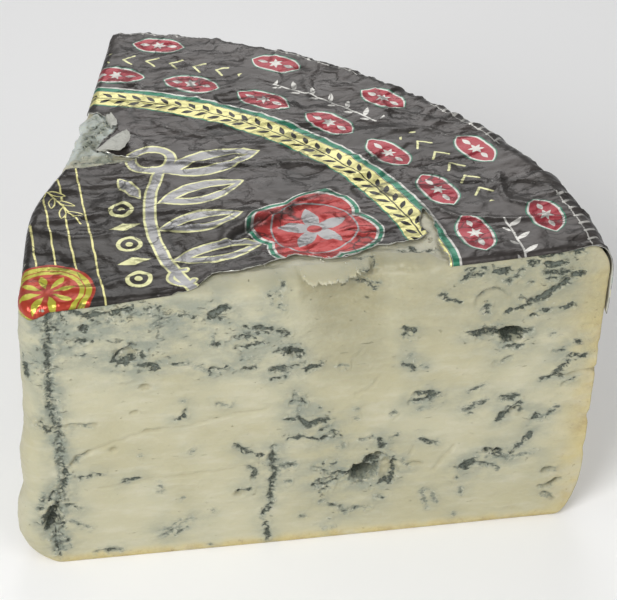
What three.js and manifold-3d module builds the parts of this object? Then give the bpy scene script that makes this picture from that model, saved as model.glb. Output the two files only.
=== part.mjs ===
// A wedge of blue-veined cheese cut from a wheel, with the piece of printed foil that still covers it.
// Millimetres, +Z up. The wedge is built with the wheel's axis at the origin and the front cut face
// along +X; the whole is then moved so that the origin lies under the middle of its box.
import * as THREE from "three";
import { mergeVertices } from "three/addons/utils/BufferGeometryUtils.js";
import Module from "manifold-3d";

const DEGREE = Math.PI / 180;

// The wheel and the two cuts
const WHEEL_RADIUS = 149.5;
const CUT_ANGLE = 77.4 * DEGREE;
const TOP_AT_TIP = 84.2;
const TOP_AT_RIM = 91.2;

// Rounded edges, as [inward, along the height]
const FRONT_HEEL = [1.6, 2.2];
const FRONT_SHOULDER = [1.4, 1.6];
const BARE_SHOULDER = [3.4, 2.6];
const BARE_START = [40, 47];
const BARE_END = [101, 106];
const RIM_HEEL = [8, 20];
const RIM_SHOULDER = [6, 8];
const LEFT_HEEL = [2.6, 4];
const TIP_HEEL = [4.5, 8];
const LEFT_SHOULDER = [1.4, 1.6];
const SHARP = [0, 0];

// The soft tip: its fillet, where the front face starts beside it, and how far from the tip or the rim
// their rounding still moves the cut faces; the belly of the left face as its place, depth and spread;
// and how far the tip has slumped outwards, as [height, distance]
const TIP_FILLET = 6;
const FRONT_START = 4.5;
const TIP_REACH = 18;
const FRONT_GIVE = 32;
const RIM_GIVE = 26;
const TIP_HEEL_FADE = [8, 55];
const BELLY = { radius: 42, depth: 6.2, towardTip: 32, towardRim: 21 };
const SLUMP = [
  [0, 0.5], [2, 2.8], [5, 4.8], [9, 6.3], [14, 7], [19, 6.8], [25, 4.9], [36, 4.5], [45, 2.6],
  [55, 1.9], [74, 2], [86, 0.6],
];

// How finely each skin is divided: heights above its foot, steps of the wall, depths below its top,
// columns along the front face, the rim, the left face and the tip's fillet, and rings of the caps as
// shares of the way to the point they draw in to
const CHEESE_DETAIL = {
  heel: [0, 0.7, 2, 4.4, 8, 12.5],
  wall: 17,
  shoulder: [11, 8, 5.6, 4, 2.7, 2.3, 1.3, 0.5, 0],
  front: 62,
  rim: 24,
  left: 25,
  fillet: 5,
};
const CHEESE_CAP = [0.05, 0.14, 0.4];
const FOIL_DETAIL = {
  heel: [0],
  wall: 2,
  shoulder: [11, 8, 5.4, 3.2, 1.6, 0.6, 0],
  front: 20,
  rim: 24,
  left: 20,
  fillet: 4,
};
const FOIL_CAP = [0.3];
const CAP_MIDDLE = [72, 52];

// The torn skin that leans out over the front face, and the hollow it was pulled from
const LIP = { from: 68.5, to: 88, reach: 3.3, thickness: 2.5, soft: 2.2 };
const SCOOP = { x: 76.5, halfWidth: 11, top: 88, bottom: 55, depth: 5.2 };

// Openings of the front face: centre, half sizes, depth and tilt of each
const HOLES = [
  { x: 87.2, z: 23, halfX: 4.6, halfZ: 3, depth: 7, tilt: 0 },
  { x: 90, z: 27.3, halfX: 3.4, halfZ: 2.2, depth: 3.4, tilt: 20 },
  { x: 93.6, z: 22.8, halfX: 3, halfZ: 4.4, depth: 1.8, tilt: 10 },
  { x: 125, z: 65.6, halfX: 3.6, halfZ: 3, depth: 5.5, tilt: -20 },
  { x: 118.5, z: 66.6, halfX: 5, halfZ: 1.5, depth: 1.6, tilt: -6 },
  { x: 2.6, z: 17.2, halfX: 2.8, halfZ: 6.6, depth: 5, tilt: -12 },
  { x: 118.5, z: 76.6, halfX: 4.4, halfZ: 4.4, depth: 1.1, tilt: 0 },
  { x: 142, z: 52.4, halfX: 3, halfZ: 4.4, depth: 1.8, tilt: -30 },
  { x: 139.7, z: 18, halfX: 2.2, halfZ: 1.4, depth: 1.2, tilt: 0 },
  { x: 140.6, z: 12.2, halfX: 2.8, halfZ: 1.5, depth: 1.2, tilt: 30 },
  { x: 127, z: 39, halfX: 4, halfZ: 1.4, depth: 1.3, tilt: 25 },
  { x: 67.4, z: 65.2, halfX: 2.4, halfZ: 1.8, depth: 1.6, tilt: 0 },
  { x: 23.6, z: 68.6, halfX: 4, halfZ: 2.4, depth: 1.4, tilt: -15 },
];

// The two needle channels: width and depth of their grooves, and their way down the face as [x, z]
const CHANNELS = [
  {
    width: 2.2,
    depth: 1.8,
    path: [[5.6, 85], [4.8, 70], [4.2, 63], [4.6, 50], [5.8, 41], [6.9, 31], [3.6, 20], [3.2, 3]],
  },
  { width: 1.6, depth: 1.4, path: [[62.2, 34], [62, 30], [62.8, 25.5], [61.4, 20], [59.6, 10.6]] },
];

// Notches in the front edge of the rim: height, half height and depth
const EDGE_NOTCHES = [
  { z: 52, half: 1.6, depth: 1.1 },
  { z: 36, half: 2.4, depth: 0.7 },
];

// The foil: its clearance over the cheese, its sheet, the pleated band round the rim, how far inside
// the cuts it ends, and the wave and raggedness of the skirt's lower edge
const FOIL_GAP = 0.3;
const FOIL_SHEET = 0.5;
const RIM_BAND = 1.5;
const FOIL_CUT = 0.1;
const SKIRT = { bottom: 66, wave: 4.5, waves: 9, ragged: 1.6, steps: 30 };
const SKIRT_INNER = WHEEL_RADIUS - 12;
const SKIRT_OUTER = WHEEL_RADIUS + 8;

// Heights between which the foil is cut out of a grown skin, and the seams too fine to keep
const SHELL_FOOT = 56;
const TOP_PIECE_FOOT = 70;
const OVER_ALL = 100;
const SEAM = 0.04;

// Where the foil hangs down over the tip, as [x, z] and as the span of y
const TIP_DROP = [[-14, 78.2], [-1.2, 81.8], [5.6, 84.2], [5.6, OVER_ALL], [-14, OVER_ALL]];
const TIP_DROP_SPAN = [-4, 7];

// Plan points [x, y] of the foil's torn edges: the bare stretch of the front, the tear that runs back
// from it, and the gap in the left side
const BARE_EDGE = [
  [35, 0.3], [42, 1.2], [47, 6.4], [55, 7.2], [62, 8.2], [68, 10.6], [81, 7], [90, 11.2], [101, 11.8],
];
const RIGHT_TEAR = [
  [104.3, 14.1], [103.2, 18], [104.3, 24], [105.6, 26.6], [106.9, 23], [106.6, 15], [105.8, 9], [106.7, 2],
];
const LEFT_TEAR = [
  [21.8, 92], [24.4, 90.8], [27.4, 88.4], [28.6, 82.4], [24.6, 76], [21.8, 71.6], [27, 68.3], [34, 65.5],
  [30.2, 64], [21.8, 63.2], [12.5, 62.4],
];

// The flap of foil folded back over the sheet: its fold line and its free edge in plan, and how far
// its upper side stands over the sheet at each share of the way across, as [share, rise]
const FLAP_FOLD = [[21.9, 70.4], [23.8, 73.6], [25.8, 76.4], [28, 79.6]];
const FLAP_EDGE = [[26.8, 67.4], [31, 69.6], [32, 75], [30.8, 79.2]];
const FLAP_RISE = [[0, 0.25], [0.12, 1.4], [0.4, 1.9], [0.75, 2.3], [1, 1.9]];


const leftWay = [Math.cos(CUT_ANGLE), Math.sin(CUT_ANGLE)];
const leftOut = [-Math.sin(CUT_ANGLE), Math.cos(CUT_ANGLE)];

const clamp01 = (value) => Math.min(Math.max(value, 0), 1);
const smoothstep = (from, to, value) => {
  const t = clamp01((value - from) / (to - from));
  return t * t * (3 - 2 * t);
};
const mix = (a, b, t) => a + (b - a) * t;

// A value read off a list of [place, value] pairs, with straight lines in between.
function readAlong(pairs, place) {
  const next = pairs.findIndex(([at]) => at >= place);
  if (next === 0) return pairs[0][1];
  if (next < 0) return pairs.at(-1)[1];
  const [[a, valueA], [b, valueB]] = [pairs[next - 1], pairs[next]];
  return mix(valueA, valueB, (place - a) / (b - a));
}

const topHeight = (radius) => mix(TOP_AT_TIP, TOP_AT_RIM, clamp01(radius / WHEEL_RADIUS));

// How far the left face stands out of the flat cut, at a distance from the wheel's axis and a height.
function leftBelly(radius, z) {
  const spread = radius < BELLY.radius ? BELLY.towardTip : BELLY.towardRim;
  const belly = BELLY.depth * Math.exp(-(((radius - BELLY.radius) / spread) ** 2));
  return belly + readAlong(SLUMP, z) * Math.exp(-((radius / TIP_REACH) ** 2));
}

// How far an elliptical edge has pulled a wall inwards, at a distance from the end of the wall.
function edgeInset([inward, along], distance) {
  if (distance >= along) return 0;
  return inward * (1 - Math.sqrt(1 - ((along - distance) / along) ** 2));
}

// How far the rounding of the rim draws in a cut face, at a distance from the wheel's axis.
function rimPull(radius, z, top) {
  const share = smoothstep(WHEEL_RADIUS - RIM_GIVE, WHEEL_RADIUS, radius);
  return share * (edgeInset(RIM_HEEL, z) + edgeInset(RIM_SHOULDER, top - z));
}

function distanceToPath(path, x, z) {
  let nearest = Infinity;
  for (let i = 1; i < path.length; i++) {
    const [[ax, az], [bx, bz]] = [path[i - 1], path[i]];
    const t = clamp01(((x - ax) * (bx - ax) + (z - az) * (bz - az)) / ((bx - ax) ** 2 + (bz - az) ** 2));
    nearest = Math.min(nearest, Math.hypot(x - mix(ax, bx, t), z - mix(az, bz, t)));
  }
  return nearest;
}

// Depth of the hollows, holes and grooves of the front face.
function frontHollow(x, z) {
  const across = clamp01(Math.abs(x - SCOOP.x) / SCOOP.halfWidth);
  const up = smoothstep(SCOOP.bottom, SCOOP.top - 6, z);
  let depth = SCOOP.depth * (1 - across ** 2) ** 1.5 * up;
  for (const hole of HOLES) {
    const turn = hole.tilt * DEGREE;
    const dx = (x - hole.x) * Math.cos(turn) + (z - hole.z) * Math.sin(turn);
    const dz = (z - hole.z) * Math.cos(turn) - (x - hole.x) * Math.sin(turn);
    const reach = Math.hypot(dx / hole.halfX, dz / hole.halfZ);
    depth = Math.max(depth, hole.depth * (1 - smoothstep(0.55, 1.25, reach)));
  }
  for (const channel of CHANNELS) {
    const away = distanceToPath(channel.path, x, z);
    depth = Math.max(depth, channel.depth * (1 - smoothstep(0.3, 1.1, away / channel.width)));
  }
  return depth;
}

// How far the lip reaches out of the front face at a place along it.
function lipReach(x) {
  const rise = smoothstep(LIP.from, LIP.from + LIP.soft, x);
  const fall = 1 - smoothstep(LIP.to - 3 * LIP.soft, LIP.to, x);
  return LIP.reach * rise * fall;
}

function notchDepth(z) {
  const cut = (notch) => notch.depth * (1 - smoothstep(0, notch.half, Math.abs(z - notch.z)));
  return Math.max(...EDGE_NOTCHES.map(cut));
}

// The heights at which a skin has its rings, under a top and over a foot.
function ringHeights(detail, foot, top) {
  const low = detail.heel.map((height) => foot + height);
  const high = detail.shoulder.map((depth) => top - depth);
  const share = (i) => (i + 1) / (detail.wall + 1);
  const wall = Array.from({ length: detail.wall }, (_, i) => mix(low.at(-1), high[0], share(i)));
  return [...low, ...wall, ...high];
}

// One point of the cheese's skin, or of a skin grown outside it, at a column and a height.
// A grown skin is the plain wedge without the lip and the hollows.
function skinPoint(column, top, z, grown) {
  let [x, y] = column.at(z, top);
  for (const face of column.faces) {
    let out = grown[face.side];
    out -= edgeInset(face.shoulder, top - z);
    out -= edgeInset(face.heel, z);
    if (face.side === "front" && !grown.plain) {
      const reach = lipReach(x);
      const above = top - z < LIP.thickness ? 1 : 0;
      out += reach * above - frontHollow(x, z) * (1 - above * clamp01(reach));
    }
    if (face.side === "rim" && column.notched && !grown.plain) out -= notchDepth(z);
    x += face.out[0] * out;
    y += face.out[1] * out;
  }
  return [x, y, z];
}

// The columns of the skin, anticlockwise from above, starting where the front face leaves the tip.
function skinColumns(detail) {
  const columns = [];
  const filletCentre = (z) => (TIP_FILLET + TIP_FILLET * leftWay[0] - leftBelly(TIP_FILLET, z)) / -leftOut[0];

  for (let i = 0; i <= detail.front; i++) {
    const nominal = mix(FRONT_START, WHEEL_RADIUS, i / detail.front);
    const follow = 1 - smoothstep(0, FRONT_GIVE, nominal - FRONT_START);
    const bare = smoothstep(...BARE_START, nominal) * (1 - smoothstep(...BARE_END, nominal));
    const shoulder = FRONT_SHOULDER.map((size, k) => mix(size, BARE_SHOULDER[k], bare));
    const faces = [{ side: "front", out: [0, -1], heel: FRONT_HEEL, shoulder }];
    if (i === detail.front) faces.push({ side: "rim", out: [1, 0], heel: SHARP, shoulder: SHARP });
    const at = (z, top) => [nominal + follow * (filletCentre(z) - FRONT_START) - rimPull(nominal, z, top), 0];
    columns.push({ radius: nominal, at, faces, notched: i === detail.front });
  }
  for (let i = 1; i < detail.rim; i++) {
    const angle = (CUT_ANGLE * i) / detail.rim;
    const out = [Math.cos(angle), Math.sin(angle)];
    const faces = [{ side: "rim", out, heel: RIM_HEEL, shoulder: RIM_SHOULDER }];
    columns.push({ radius: WHEEL_RADIUS, at: () => out.map((v) => v * WHEEL_RADIUS), faces });
  }
  for (let i = 0; i <= detail.left; i++) {
    const along = mix(WHEEL_RADIUS, TIP_FILLET + 1.2, i / detail.left);
    const nearTip = 1 - smoothstep(...TIP_HEEL_FADE, along);
    const heel = LEFT_HEEL.map((size, k) => mix(size, TIP_HEEL[k], nearTip));
    const faces = [{ side: "left", out: leftOut, heel, shoulder: LEFT_SHOULDER }];
    if (i === 0) faces.push({ side: "rim", out: leftWay, heel: SHARP, shoulder: SHARP });
    const at = (z, top) =>
      leftWay.map((v, k) => v * (along - rimPull(along, z, top)) + leftOut[k] * leftBelly(along, z));
    columns.push({ radius: along, at, faces });
  }
  for (let i = 1; i <= detail.fillet; i++) {
    const t = i / (detail.fillet + 1);
    const angle = mix(CUT_ANGLE + Math.PI / 2, 1.5 * Math.PI, t);
    const out = [Math.cos(angle), Math.sin(angle)];
    const heel = TIP_HEEL.map((size, k) => mix(size, FRONT_HEEL[k], smoothstep(0.4, 1, t)));
    const faces = [{ side: "tip", out, heel, shoulder: LEFT_SHOULDER }];
    const at = (z) => [filletCentre(z) + TIP_FILLET * out[0], TIP_FILLET * (1 + out[1])];
    columns.push({ radius: TIP_FILLET, at, faces });
  }
  return columns;
}

// A closed geometry from rings of equal length, capped at both ends by rings drawn in to a middle point.
function loftRings(rings, capShares = [], middles = null) {
  const around = rings[0].length;
  const middleOf = (ring) => [0, 1, 2].map((k) => ring.reduce((sum, point) => sum + point[k], 0) / around);
  const inwards = (ring, middle) =>
    capShares.map((share) => ring.map((point) => point.map((v, k) => mix(v, middle[k], share))));
  const [first, last] = middles ?? [middleOf(rings[0]), middleOf(rings.at(-1))];
  const all = [...inwards(rings[0], first).reverse(), ...rings, ...inwards(rings.at(-1), last)];
  const positions = [...all.flat(2), ...first, ...last];
  const triangles = [];
  for (let r = 1; r < all.length; r++) {
    for (let i = 0; i < around; i++) {
      const [a, b] = [(r - 1) * around + i, (r - 1) * around + ((i + 1) % around)];
      triangles.push(a, b, b + around, a, b + around, a + around);
    }
  }
  const [firstMiddle, lastMiddle] = [all.length * around, all.length * around + 1];
  const lastStart = (all.length - 1) * around;
  for (let i = 0; i < around; i++) {
    const next = (i + 1) % around;
    triangles.push(firstMiddle, next, i, lastMiddle, lastStart + i, lastStart + next);
  }
  const geometry = new THREE.BufferGeometry();
  geometry.setAttribute("position", new THREE.Float32BufferAttribute(positions, 3));
  geometry.setIndex(triangles);
  return geometry;
}

// The skin of the wedge, with its caps drawn in towards a middle point of the base and of the top.
function wedgeSkin(grown, detail, capShares) {
  const columns = skinColumns(detail).map((column) => {
    const top = topHeight(column.radius) + grown.top;
    return ringHeights(detail, grown.foot, top).map((z) => skinPoint(column, top, z, grown));
  });
  const rings = columns[0].map((_, level) => columns.map((column) => column[level]));
  const [x, y] = CAP_MIDDLE;
  return loftRings(rings, capShares, [[x, y, grown.foot], [x, y, topHeight(Math.hypot(x, y)) + grown.top]]);
}

function buildCheese() {
  const skin = { top: 0, front: 0, rim: 0, left: 0, tip: 0, foot: 0 };
  return wedgeSkin(skin, CHEESE_DETAIL, CHEESE_CAP);
}

// Solids of manifold-3d and back
const wasm = await Module();
wasm.setup();

function toSolid(geometry) {
  const bare = geometry.clone();
  bare.deleteAttribute("normal");
  bare.deleteAttribute("uv");
  const merged = mergeVertices(bare, 1e-4);
  const mesh = new wasm.Mesh({
    numProp: 3,
    vertProperties: new Float32Array(merged.attributes.position.array),
    triVerts: new Uint32Array(merged.index.array),
  });
  return new wasm.Manifold(mesh);
}

function toGeometry(solid) {
  const mesh = solid.getMesh();
  const geometry = new THREE.BufferGeometry();
  geometry.setAttribute("position", new THREE.BufferAttribute(new Float32Array(mesh.vertProperties), 3));
  geometry.setIndex(new THREE.BufferAttribute(new Uint32Array(mesh.triVerts), 1));
  return geometry;
}

// A prism over a plan outline, through the foil's top.
function prism(points) {
  const shape = new THREE.Shape(points.map(([x, y]) => new THREE.Vector2(x, y)));
  const depth = OVER_ALL - TOP_PIECE_FOOT;
  const geometry = new THREE.ExtrudeGeometry(shape, { depth, bevelEnabled: false, steps: 1 });
  return toSolid(geometry.translate(0, 0, TOP_PIECE_FOOT));
}

// Plan points round an arc about the wheel's axis.
function planArc(radius, from, to, steps) {
  return Array.from({ length: steps + 1 }, (_, i) => {
    const angle = mix(from, to, i / steps);
    return [Math.cos(angle) * radius, Math.sin(angle) * radius];
  });
}

// Plan points along the top of the left face, just inside it.
function leftSide(from, to, steps) {
  return Array.from({ length: steps + 1 }, (_, i) => {
    const radius = mix(from, to, i / steps);
    const out = leftBelly(radius, TOP_AT_TIP) - FOIL_CUT;
    return leftWay.map((v, k) => v * radius + leftOut[k] * out);
  });
}

// The plan outline that the foil keeps over the top: front edge with its bare stretch and its tear,
// round outside the rim, and back along the left side with its gap.
function foilOutline() {
  const beyond = SKIRT_OUTER + 4;
  const [beside] = TIP_DROP[2];
  const front = [[beside, FOIL_CUT], ...BARE_EDGE, ...RIGHT_TEAR, [106.9, FOIL_CUT], [beyond, FOIL_CUT]];
  const rim = planArc(beyond, 0.1, CUT_ANGLE, 8);
  const left = [...leftSide(WHEEL_RADIUS, 96, 5), ...LEFT_TEAR, ...leftSide(62, 8, 8)];
  return [...front, ...rim, ...left, [beside, 6]];
}

// The ring section that the foil keeps down the rim, over a ragged lower edge.
function skirtSection() {
  const rings = Array.from({ length: SKIRT.steps + 1 }, (_, i) => {
    const t = i / SKIRT.steps;
    const angle = CUT_ANGLE * t;
    const tooth = SKIRT.ragged * (i % 2 ? 1 : -1) * Math.sin(3 * i);
    const bottom = SKIRT.bottom + SKIRT.wave * Math.cos(SKIRT.waves * t) + tooth;
    const nudge = i === 0 ? FOIL_CUT : 0;
    const corner = (radius, z) => [Math.cos(angle) * radius, Math.sin(angle) * radius + nudge, z];
    const above = [corner(SKIRT_INNER, OVER_ALL), corner(SKIRT_OUTER, OVER_ALL)];
    return [...above, corner(SKIRT_OUTER, bottom), corner(SKIRT_INNER, bottom)];
  });
  return toSolid(loftRings(rings));
}

// The piece over the tip, which hangs a little way down over the front edge.
function tipSection() {
  const shape = new THREE.Shape(TIP_DROP.map(([x, z]) => new THREE.Vector2(x, z)));
  const [near, far] = TIP_DROP_SPAN;
  const geometry = new THREE.ExtrudeGeometry(shape, { depth: far - near, bevelEnabled: false, steps: 1 });
  return toSolid(geometry.rotateX(Math.PI / 2).translate(0, far, 0));
}

// The folded flap, as a strip of sections from its fold line to its free edge.
function flapSolid() {
  const sheetTop = (x, y) => topHeight(Math.hypot(x, y)) + FOIL_GAP + FOIL_SHEET;
  const rings = FLAP_RISE.map(([t, rise]) => {
    const under = FLAP_FOLD.map(([x, y], i) => {
      const [px, py] = [mix(x, FLAP_EDGE[i][0], t), mix(y, FLAP_EDGE[i][1], t)];
      return [px, py, sheetTop(px, py) + rise - FOIL_SHEET];
    });
    const over = under.map(([x, y, z]) => [x, y, z + FOIL_SHEET]);
    return [...under, ...over.reverse()];
  });
  return toSolid(loftRings(rings));
}

// The plan region inside the skirt section, so that the top piece doesn't reach down the rim.
function insideShoulder() {
  return [[-20, -12], ...planArc(SKIRT_INNER + 2, -0.1, CUT_ANGLE + 0.12, 24), [-20, 60]];
}

function buildFoil() {
  const sheet = FOIL_GAP + FOIL_SHEET;
  const grown = (by, rim, foot) => ({ top: by, front: by, left: by, tip: by, rim, foot });
  const outer = grown(sheet, FOIL_GAP + RIM_BAND, SHELL_FOOT);
  const inner = grown(FOIL_GAP, FOIL_GAP, SHELL_FOOT - 2);
  const skin = (size) => toSolid(wedgeSkin({ ...size, plain: true }, FOIL_DETAIL, FOIL_CAP));
  const shell = skin(outer).subtract(skin(inner));
  const overTop = prism(foilOutline()).intersect(prism(insideShoulder()));
  const kept = overTop.add(skirtSection()).add(tipSection());
  return toGeometry(shell.intersect(kept).add(flapSolid()).simplify(SEAM));
}

function namedMesh(name, geometry, color, roughness, metalness) {
  geometry.computeVertexNormals();
  const mesh = new THREE.Mesh(geometry, new THREE.MeshStandardMaterial({ color, roughness, metalness }));
  mesh.name = name;
  return mesh;
}

// Ivory paste with a damp sheen, and dark printed aluminium foil
const wedge = new THREE.Group();
wedge.add(namedMesh("cheese", buildCheese(), 0xbeba9c, 0.45, 0));
wedge.add(namedMesh("foil", buildFoil(), 0x5e5c5b, 0.35, 0.55));

// The origin goes to the middle of the box's underside.
const box = new THREE.Box3().setFromObject(wedge);
wedge.position.set(-(box.min.x + box.max.x) / 2, -(box.min.y + box.max.y) / 2, -box.min.z);

const part = new THREE.Group();
part.add(wedge);
export default part;
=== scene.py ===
"""A wedge of blue-veined cheese cut from a wheel, under the torn piece of printed foil that came with it.

Run in Blender 4.5. The wedge is worked out in millimetres, with the wheel's axis at the origin, the
front cut face along +X and the base at z = 0, and is set into the frame at the end.
"""

import math
from functools import reduce

import bmesh
import bpy
import numpy as np
from mathutils import Matrix, Vector
from mathutils.geometry import delaunay_2d_cdt


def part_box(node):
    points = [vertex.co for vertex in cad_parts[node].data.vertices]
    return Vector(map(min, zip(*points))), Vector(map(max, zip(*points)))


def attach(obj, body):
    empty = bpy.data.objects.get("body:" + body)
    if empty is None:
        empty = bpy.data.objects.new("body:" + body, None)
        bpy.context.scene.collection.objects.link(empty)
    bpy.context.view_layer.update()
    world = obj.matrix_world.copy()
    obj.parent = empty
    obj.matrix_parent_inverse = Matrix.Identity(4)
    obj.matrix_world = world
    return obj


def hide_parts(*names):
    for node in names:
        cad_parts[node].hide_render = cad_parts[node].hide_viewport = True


bl_info = {
    "name": "Blue Cheese Wedge",
    "version": (1, 0, 0),
    "blender": (4, 5, 0),
    "location": "3D View > Sidebar > Cheese",
    "description": "Builds a wedge of blue-veined cheese with its torn printed foil",
    "category": "Add Mesh",
}

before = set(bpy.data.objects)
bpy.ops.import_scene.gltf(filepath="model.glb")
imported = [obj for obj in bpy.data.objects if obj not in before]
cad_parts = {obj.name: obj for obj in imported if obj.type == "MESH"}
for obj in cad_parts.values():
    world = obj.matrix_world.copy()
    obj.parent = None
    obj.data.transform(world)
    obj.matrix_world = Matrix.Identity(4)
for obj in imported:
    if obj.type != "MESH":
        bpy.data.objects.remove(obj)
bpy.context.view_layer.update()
MM = 0.001
DEGREE = math.pi / 180

# The wheel and the two cuts
WHEEL_RADIUS = 149.5
CUT_ANGLE = 77.4 * DEGREE
TOP_AT_TIP = 84.2
TOP_AT_RIM = 91.2
CHEESE_LOW, CHEESE_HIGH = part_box("cheese")
WHEEL_AXIS = np.array([
    CHEESE_HIGH.x / MM - WHEEL_RADIUS,
    CHEESE_HIGH.y / MM - WHEEL_RADIUS * math.sin(CUT_ANGLE),
    CHEESE_LOW.z / MM,
])
LEFT_WAY = np.array([math.cos(CUT_ANGLE), math.sin(CUT_ANGLE)])
LEFT_OUT = np.array([-math.sin(CUT_ANGLE), math.cos(CUT_ANGLE)])

# Rounded edges, as (inward, along the height)
FRONT_HEEL = (0.5, 1.2)
FRONT_HEEL_AT_RIM = (1.6, 2.2)
FRONT_HEEL_CHANGE = (60, 140)
FRONT_SHOULDER = (1.4, 1.6)
BARE_SHOULDER = (6.2, 3.6)
BARE_START = (40, 47)
BARE_END = (101, 106)
RIM_HEEL = (8, 20)
RIM_SHOULDER = (6, 8)
LEFT_HEEL = (2.6, 4)
TIP_HEEL = (2.4, 5.0)
LEFT_SHOULDER = (1.4, 1.6)

# The soft tip and the bulge of the left face
TIP_FILLET = 6
FRONT_START = 4.5
TIP_REACH = 18
FRONT_GIVE = 32
RIM_GIVE = 26
TIP_HEEL_FADE = (8, 55)
BELLY_RADIUS, BELLY_DEPTH, BELLY_TOWARD_TIP, BELLY_TOWARD_RIM = 42, 6.2, 32, 21
SLUMP_HEIGHTS = (0, 2, 5, 9, 14, 19, 25, 36, 45, 55, 74, 86)
SLUMP_REACHES = (1.2, 3.4, 5.4, 6.9, 7.1, 6.5, 4.5, 4.8, 3.0, 2.5, 2.4, 0.8)

# Distance between points along the sides that lie away from the front
RIM_STEP, LEFT_STEP = 1.35, 1.25

# The torn skin that leans out over the front face, and the hollow it was pulled from
LIP_FROM, LIP_TO, LIP_REACH, LIP_DROP = 67.6, 89.6, 1.8, 2.0
LIP_BITES = ((69.4, 2.0, 1.2), (73.2, 0.9, 0.7), (82.4, 1.6, 0.5), (78.2, 0.8, 0.3))
SCOOP_LEFT, SCOOP_FULL, SCOOP_FADE, SCOOP_RIGHT = 65.5, 82, 83, 101
SCOOP_TOP, SCOOP_BOTTOM, SCOOP_DEPTH = 86, 50, 4.0

# Openings of the front face: centre x and z, half width, half height, depth, tilt in degrees
HOLES = (
    (87.2, 23.0, 4.3, 2.7, 7.0, -6), (90.0, 27.3, 3.2, 1.9, 3.4, 20), (93.6, 22.8, 2.8, 4.2, 1.7, 10),
    (125.0, 65.6, 3.2, 2.4, 5.5, -20), (118.5, 66.8, 4.6, 1.0, 1.5, -6), (2.6, 16.4, 2.2, 5.6, 2.4, -12),
    (139.7, 17.8, 2.2, 1.2, 2.2, 0), (141.2, 12.6, 2.6, 1.1, 2.2, 35), (127.0, 39.0, 3.6, 1.1, 1.2, 25),
    (67.4, 65.2, 2.0, 1.4, 1.5, 0), (23.6, 68.8, 3.6, 2.0, 1.2, -15), (28.5, 58.0, 1.5, 0.9, 0.8, 0),
    (53.0, 19.3, 1.8, 1.0, 1.0, 5), (19.5, 38.0, 1.2, 0.9, 0.7, 0), (121.8, 26.8, 1.0, 0.9, 1.5, 0),
    (124.3, 26.4, 1.0, 0.9, 1.5, 0),
)
DENT_X, DENT_Z, DENT_RADIUS, DENT_DEPTH = 118.5, 76.6, 4.6, 1.7
EDGE_NOTCHES = ((52, 1.6, 1.2), (36, 2.4, 0.8), (25, 3.0, 0.4), (60, 2.2, 0.35))

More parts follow.
